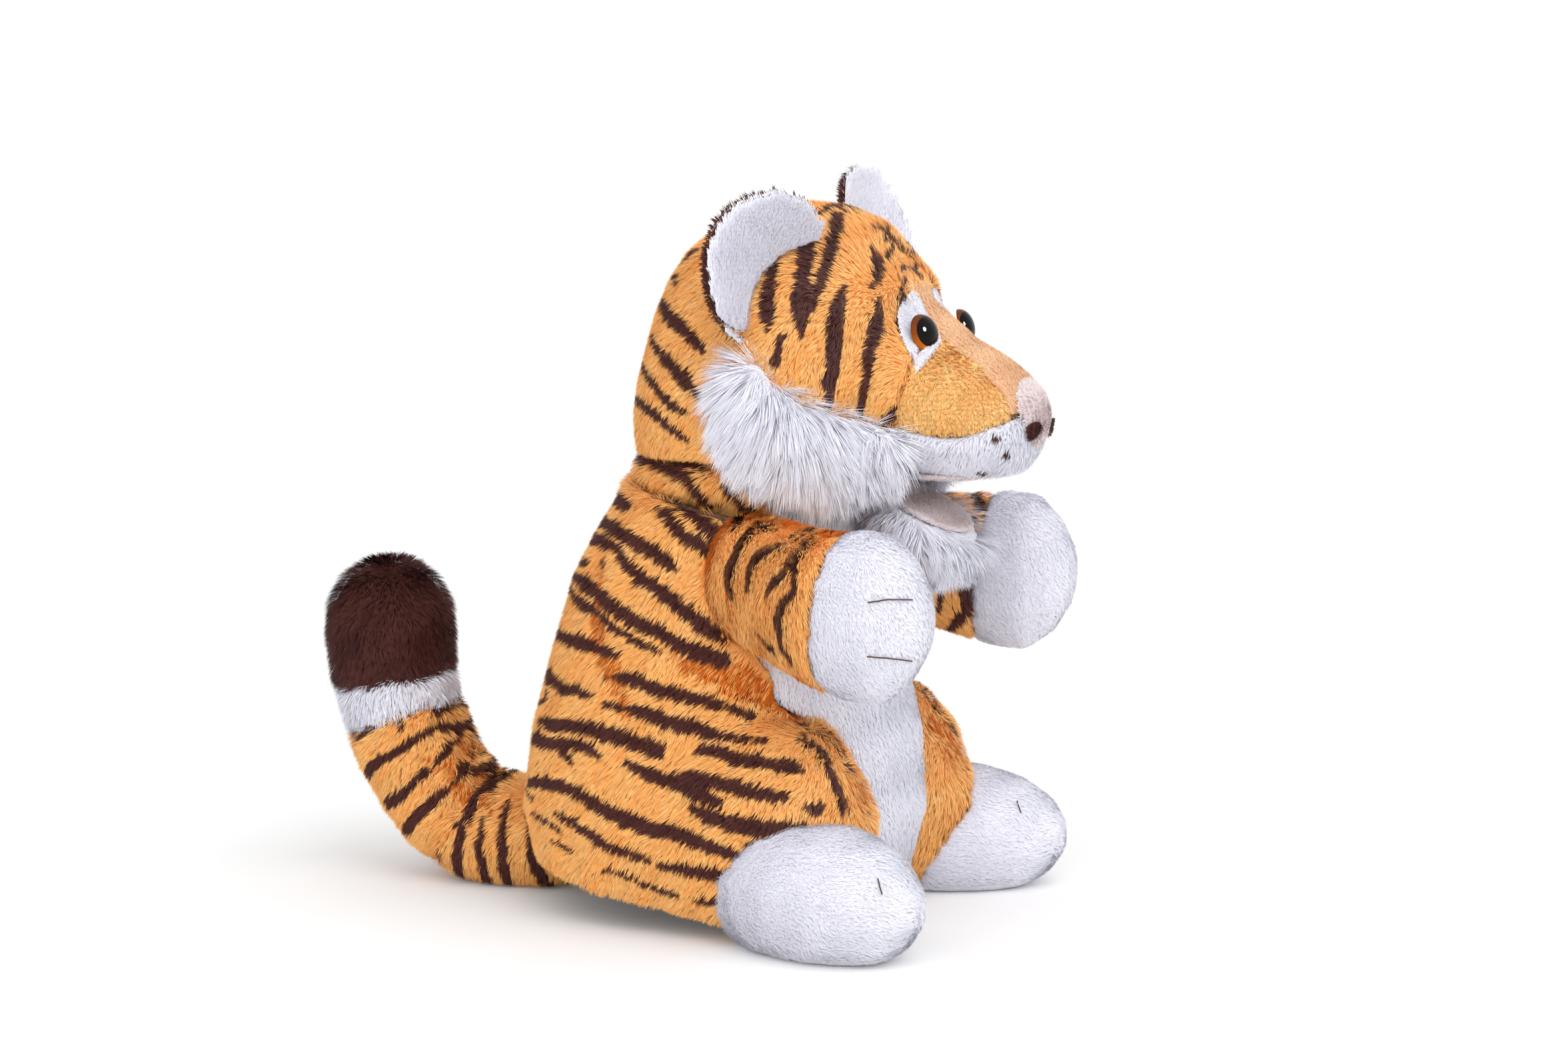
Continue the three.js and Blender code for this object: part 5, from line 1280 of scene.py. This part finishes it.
# %% Domes
for word, side in SIDES.items():
    node = "eye_" + word
    axis = unit(EYE_AXIS * [side, 1, 1])
    gaze = unit(np.array(GAZE[word]))
    places = node_points(node)
    heights = places @ axis
    shank_end = places[heights < heights.min() + SHANK_END].mean(axis=0)
    seat = shank_end + axis * (heights.max() - heights.min() - EYE_DOME - EYE_SINK)
    right_hand = unit(np.cross([0.0, 0.0, 1.0], axis))
    top = np.cross(axis, right_hand)
    slope = np.linspace(0, np.pi / 2 - TOP_GAP, RINGS)
    breadth = np.append([FOOT_BREADTH], np.cos(slope))[:, None, None]
    height = np.append([0.0], np.sin(slope))[:, None, None]
    angle = np.arange(ROUND) * 2 * np.pi / ROUND
    flat = np.cos(angle)[:, None] * right_hand + np.sin(angle)[:, None] * top
    rings = seat + EYE_RADIUS * breadth * flat + EYE_DOME * height * axis
    offset = rings - seat
    from_gaze = np.linalg.norm(offset - (offset @ gaze)[..., None] * gaze, axis=-1) / EYE_RADIUS
    mesh = ringed_mesh(node + "_dome", rings, np.minimum(from_gaze, 1.0))
    dome = link(node + "_dome", mesh, eye_material)
    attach(dome, "head")
    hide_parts(node)
    print(node, "seat at", seat.round(4))

# %% [markdown]
# ## Threads
# Claws and toes are marked by a few long stitches of dark brown thread. A stitch is a thin tube laid along a
# stroke on the white cloth, just proud of the pile.

# %% Threads
CLAWS = [[(1302, 904), (1334, 900), (1367, 901)], [(1301, 983), (1334, 985), (1366, 989)]]
NEAR_TOE = [(1315, 1320), (1318, 1332), (1322, 1345)]
FAR_TOE = [(1524, 1204), (1526, 1212), (1530, 1222)]
THREAD_RADIUS, THREAD_LIFT, THREAD_END, TWISTS, TWIST_DEPTH = 0.24 * MM, 1.4 * MM, 0.35, 900.0, 0.0002
THREAD_SHADES = [(0.1, paint(54, 30, 26)), (0.9, paint(88, 54, 46))]
ACROSS_NO_THREAD = [0.3, 0.5, 0.81]
thread_material, tree, sockets = new_material("brown_thread", Roughness=0.7)
ply = {"Vector": object_place(tree), "Scale": TWISTS, "Distortion": 1.0}
twist = add_node(tree, "ShaderNodeTexWave", {}, ply, out=1)
shade = shade_and_bump(tree, sockets, twist, THREAD_SHADES, 0.4, TWIST_DEPTH)
tree.links.new(shade.socket, sockets["Base Color"])


def tube(name, line, radius, sides=10):
    """A closed tube: rings of a radius round the places of a line, drawn in at both ends."""
    run = unit(np.gradient(line, axis=0))
    first = unit(np.cross(run, ACROSS_NO_THREAD))
    second = np.cross(run, first)
    turn = (np.arange(sides) * 2 * np.pi / sides)[None, :, None]
    size = np.full(len(line), radius)
    size[[0, -1]] = radius * THREAD_END
    circle = np.cos(turn) * first[:, None] + np.sin(turn) * second[:, None]
    return ringed_mesh(name, line[:, None] + size[:, None, None] * circle)


def stitch(name, pixels, node, body, side):
    """One thread along a stroke on a node's skin; a side of -1 mirrors it."""
    marks = on_cloth([[(x, y, 1) for x, y in pixels]], [node])
    tree = trees_of([node])[0]
    line = []
    for mark in marks:
        place, normal, _, _ = tree.find_nearest(Vector(mark[:3]))
        line.append(np.array(place) + THREAD_LIFT * np.array(normal))
    thread = link(name, tube(name, np.array(line) * [side, 1, 1], THREAD_RADIUS), thread_material)
    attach(thread, body)


for number, pixels in enumerate(CLAWS):
    stitch("claw_thread_right_" + str(number + 1), pixels, "paw_right", "arm_right", 1)
    stitch("claw_thread_left_" + str(number + 1), pixels, "paw_right", "arm_left", -1)
stitch("toe_thread_right", NEAR_TOE, "foot_right", "foot_right", 1)
stitch("toe_thread_left", FAR_TOE, "foot_left", "foot_left", 1)
print("threads:", 2 * len(CLAWS) + 2)

# %% [markdown]
# ## Linings and fillings
# The lining, the hem tape and the hand pockets are plain woven cloth. They are too thin to be rebuilt in
# squares, so a copy of each solid is divided finely and its corners are shifted by a soft noise, which gives
# the slack look of unstuffed cloth. The fillings are loose white fibre and the washers plain moulded
# plastic. Nothing shows of them on a whole puppet, so they keep their solids and only take a finish.


# %% Woven cloth and fibre
def woven(name, dark, light, per_metre):
    """Plain weave: two crossed waves lighten the thread's crown and bump it."""
    material, tree, sockets = new_material(name, Roughness=0.85, Specular_IOR_Level=0.2)
    threads = {"Vector": object_place(tree), "Scale": per_metre}
    warp = add_node(tree, "ShaderNodeTexWave", {"bands_direction": "X"}, threads, out=1)
    weft = add_node(tree, "ShaderNodeTexWave", {"bands_direction": "Z"}, threads, out=1)
    shade = shade_and_bump(tree, sockets, (warp + weft) * 0.5, [(0.2, dark), (0.8, light)], 0.5, 0.0003)
    tree.links.new(shade.socket, sockets["Base Color"])
    return material


def cloudy(name, dark, light, grain, roughness):
    """A soft noise between two shades, with a bump of the same noise."""
    material, tree, sockets = new_material(name, Roughness=roughness, Specular_IOR_Level=0.3)
    clouds = {"Vector": object_place(tree), "Scale": grain, "Detail": 4.0}
    speck = add_node(tree, "ShaderNodeTexNoise", {}, clouds)
    shade = shade_and_bump(tree, sockets, speck, [(0.3, dark), (0.7, light)], 0.4, 0.0004)
    tree.links.new(shade.socket, sockets["Base Color"])
    return material


lining = woven("lining_weave", paint(96, 74, 58), paint(126, 100, 80), 500.0)
tape = woven("hem_tape", paint(110, 84, 64), paint(140, 112, 90), 700.0)
fibre = cloudy("filling_fibre", paint(226, 226, 222), paint(250, 250, 248), 400.0, 0.95)
washer = cloudy("washer_plastic", paint(226, 226, 222), paint(238, 238, 234), 300.0, 0.45)
print("inner finishes:", lining.name, tape.name, fibre.name, washer.name)

# %% Linings
SLACK, SLACK_RIPPLE, EDGE_CUTS = 0.3 * MM, 1.6, 2


def slack_copy(node, material):
    """The node's solid with its edges cut up, and its corners shifted along their normals by a soft noise."""
    mesh = merged_copy(node, EDGE_CUTS)
    piece = link(node + "_cloth", mesh, material)
    points, normals, _ = surface_of(piece)
    move_corners(piece, points + normals * SLACK * sway(points * SLACK_RIPPLE).mean(axis=1, keepdims=True))
    mesh.shade_smooth()
    return piece


CLOTH_NODES = {"body_lining": (lining, "torso"), "hem_binding": (tape, "torso")}
CLOTH_NODES.update({"finger_pocket": (lining, "head"), "thumb_pocket": (lining, "jaw")})
for node, (material, body) in CLOTH_NODES.items():
    cloth = slack_copy(node, material)
    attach(cloth, body)
    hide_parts(node)
    print(node, len(cloth.data.polygons), "faces")

# %% Fillings and washers
INNER_NODES = {"head_filling": fibre, "eye_washer_left": washer, "eye_washer_right": washer}
for word in SIDES:
    INNER_NODES.update({"arm_filling_" + word: fibre, "foot_filling_" + word: fibre})
INNER_NODES.update({"tail_filling_root": fibre, "tail_filling_end": fibre})
for node, material in INNER_NODES.items():
    solid = frame["nodes"][node]
    solid.data.materials.clear()
    solid.data.materials.append(material)
print("inner pieces:", len(INNER_NODES))

# %% [markdown]
# ## Light and floor
# The picture was taken on a white sweep under a broad soft light. The world gives an even white light, a
# wide sun from above and the right gives the soft shadow, and a second one from the camera's side fills it
# in. The floor is pale, and a faint glow that only the camera and mirroring surfaces see brings it to white.
# A small disc, up and to the right in front of the puppet, serves for the glint in the eyes, so its diffuse
# light is turned off.

# %% Sky
SKY_LIGHT, SUN_LIGHT, FILL_LIGHT, GLINT_LIGHT, FLOOR_GLOW = 0.72, 1.08, 1.18, 14.0, 0.05
SUN_SPREAD, FILL_SPREAD, GLINT_SIZE, FLOOR_HALF = 50, 60, 0.22, 6
FLOOR_GREY = (0.88, 0.88, 0.88, 1)


def background_rays(tree):
    """1 for the camera's rays and those that a shiny or clear surface sends on, 0 for light on cloth."""
    path = add_node(tree, "ShaderNodeLightPath", {}, {})
    seen = path
    for ray in ["Is Glossy Ray", "Is Transmission Ray"]:
        other = Wire(tree, path.socket.node.outputs[ray])
        seen = add_node(tree, "ShaderNodeMath", {"operation": "MAXIMUM"}, {0: seen, 1: other})
    return seen


world = bpy.data.worlds.new("studio")
bpy.context.scene.world = world
world.use_nodes = True
tree = world.node_tree
background = tree.nodes["Background"]
background.inputs["Color"].default_value = (1.0, 1.0, 1.0, 1.0)
tree.links.new((SKY_LIGHT + (1 - SKY_LIGHT) * background_rays(tree)).socket, background.inputs["Strength"])
print("sky at", SKY_LIGHT, "on the puppet and at 1 behind it")


# %% Lamps
def broad_sun(name, strength, spread, source):
    """Light from one direction, as soft as a disc that fills so many degrees of the sky. So wide a disc would
    show in the eyes, so it isn't mirrored."""
    lamp = bpy.data.objects.new(name, bpy.data.lights.new(name, "SUN"))
    lamp.data.energy = strength
    lamp.data.angle = np.radians(spread)
    lamp.rotation_euler = Vector(-source).to_track_quat("-Z", "Y").to_euler()
    lamp.visible_glossy = False
    bpy.context.scene.collection.objects.link(lamp)


overhead = np.array([0.0, 0.0, 1.0])
broad_sun("key", SUN_LIGHT, SUN_SPREAD, 0.45 * rightward + 0.85 * overhead + 0.5 * towards_camera)
broad_sun("fill", FILL_LIGHT, FILL_SPREAD, towards_camera - 0.2 * rightward + 0.5 * overhead)

glint = bpy.data.objects.new("glint", bpy.data.lights.new("glint", "AREA"))
glint.data.shape = "DISK"
glint.data.size = GLINT_SIZE
glint.data.energy = GLINT_LIGHT
glint.visible_diffuse = False
glint.location = LOOKED_AT + 0.4 * towards_camera + 0.36 * upward + 0.55 * rightward
glint.rotation_euler = Vector(LOOKED_AT - np.array(glint.location)).to_track_quat("-Z", "Y").to_euler()
bpy.context.scene.collection.objects.link(glint)
print("lamps:", len(bpy.data.lights))

# %% Floor
floor_mesh = bpy.data.meshes.new("floor")
floor_corners = np.array([(-1, -1, 0), (1, -1, 0), (1, 1, 0), (-1, 1, 0)]) * FLOOR_HALF
floor_mesh.from_pydata(floor_corners.tolist(), [], [(0, 1, 2, 3)])
floor_material, tree, sockets = new_material("pale_floor", Base_Color=FLOOR_GREY, Roughness=0.8)
sockets["Emission Strength"].default_value = 1.0
tree.links.new((background_rays(tree) * FLOOR_GLOW).socket, sockets["Emission Color"])
floor = link("floor", floor_mesh, floor_material)
print("floor:", 2 * FLOOR_HALF, "m wide")
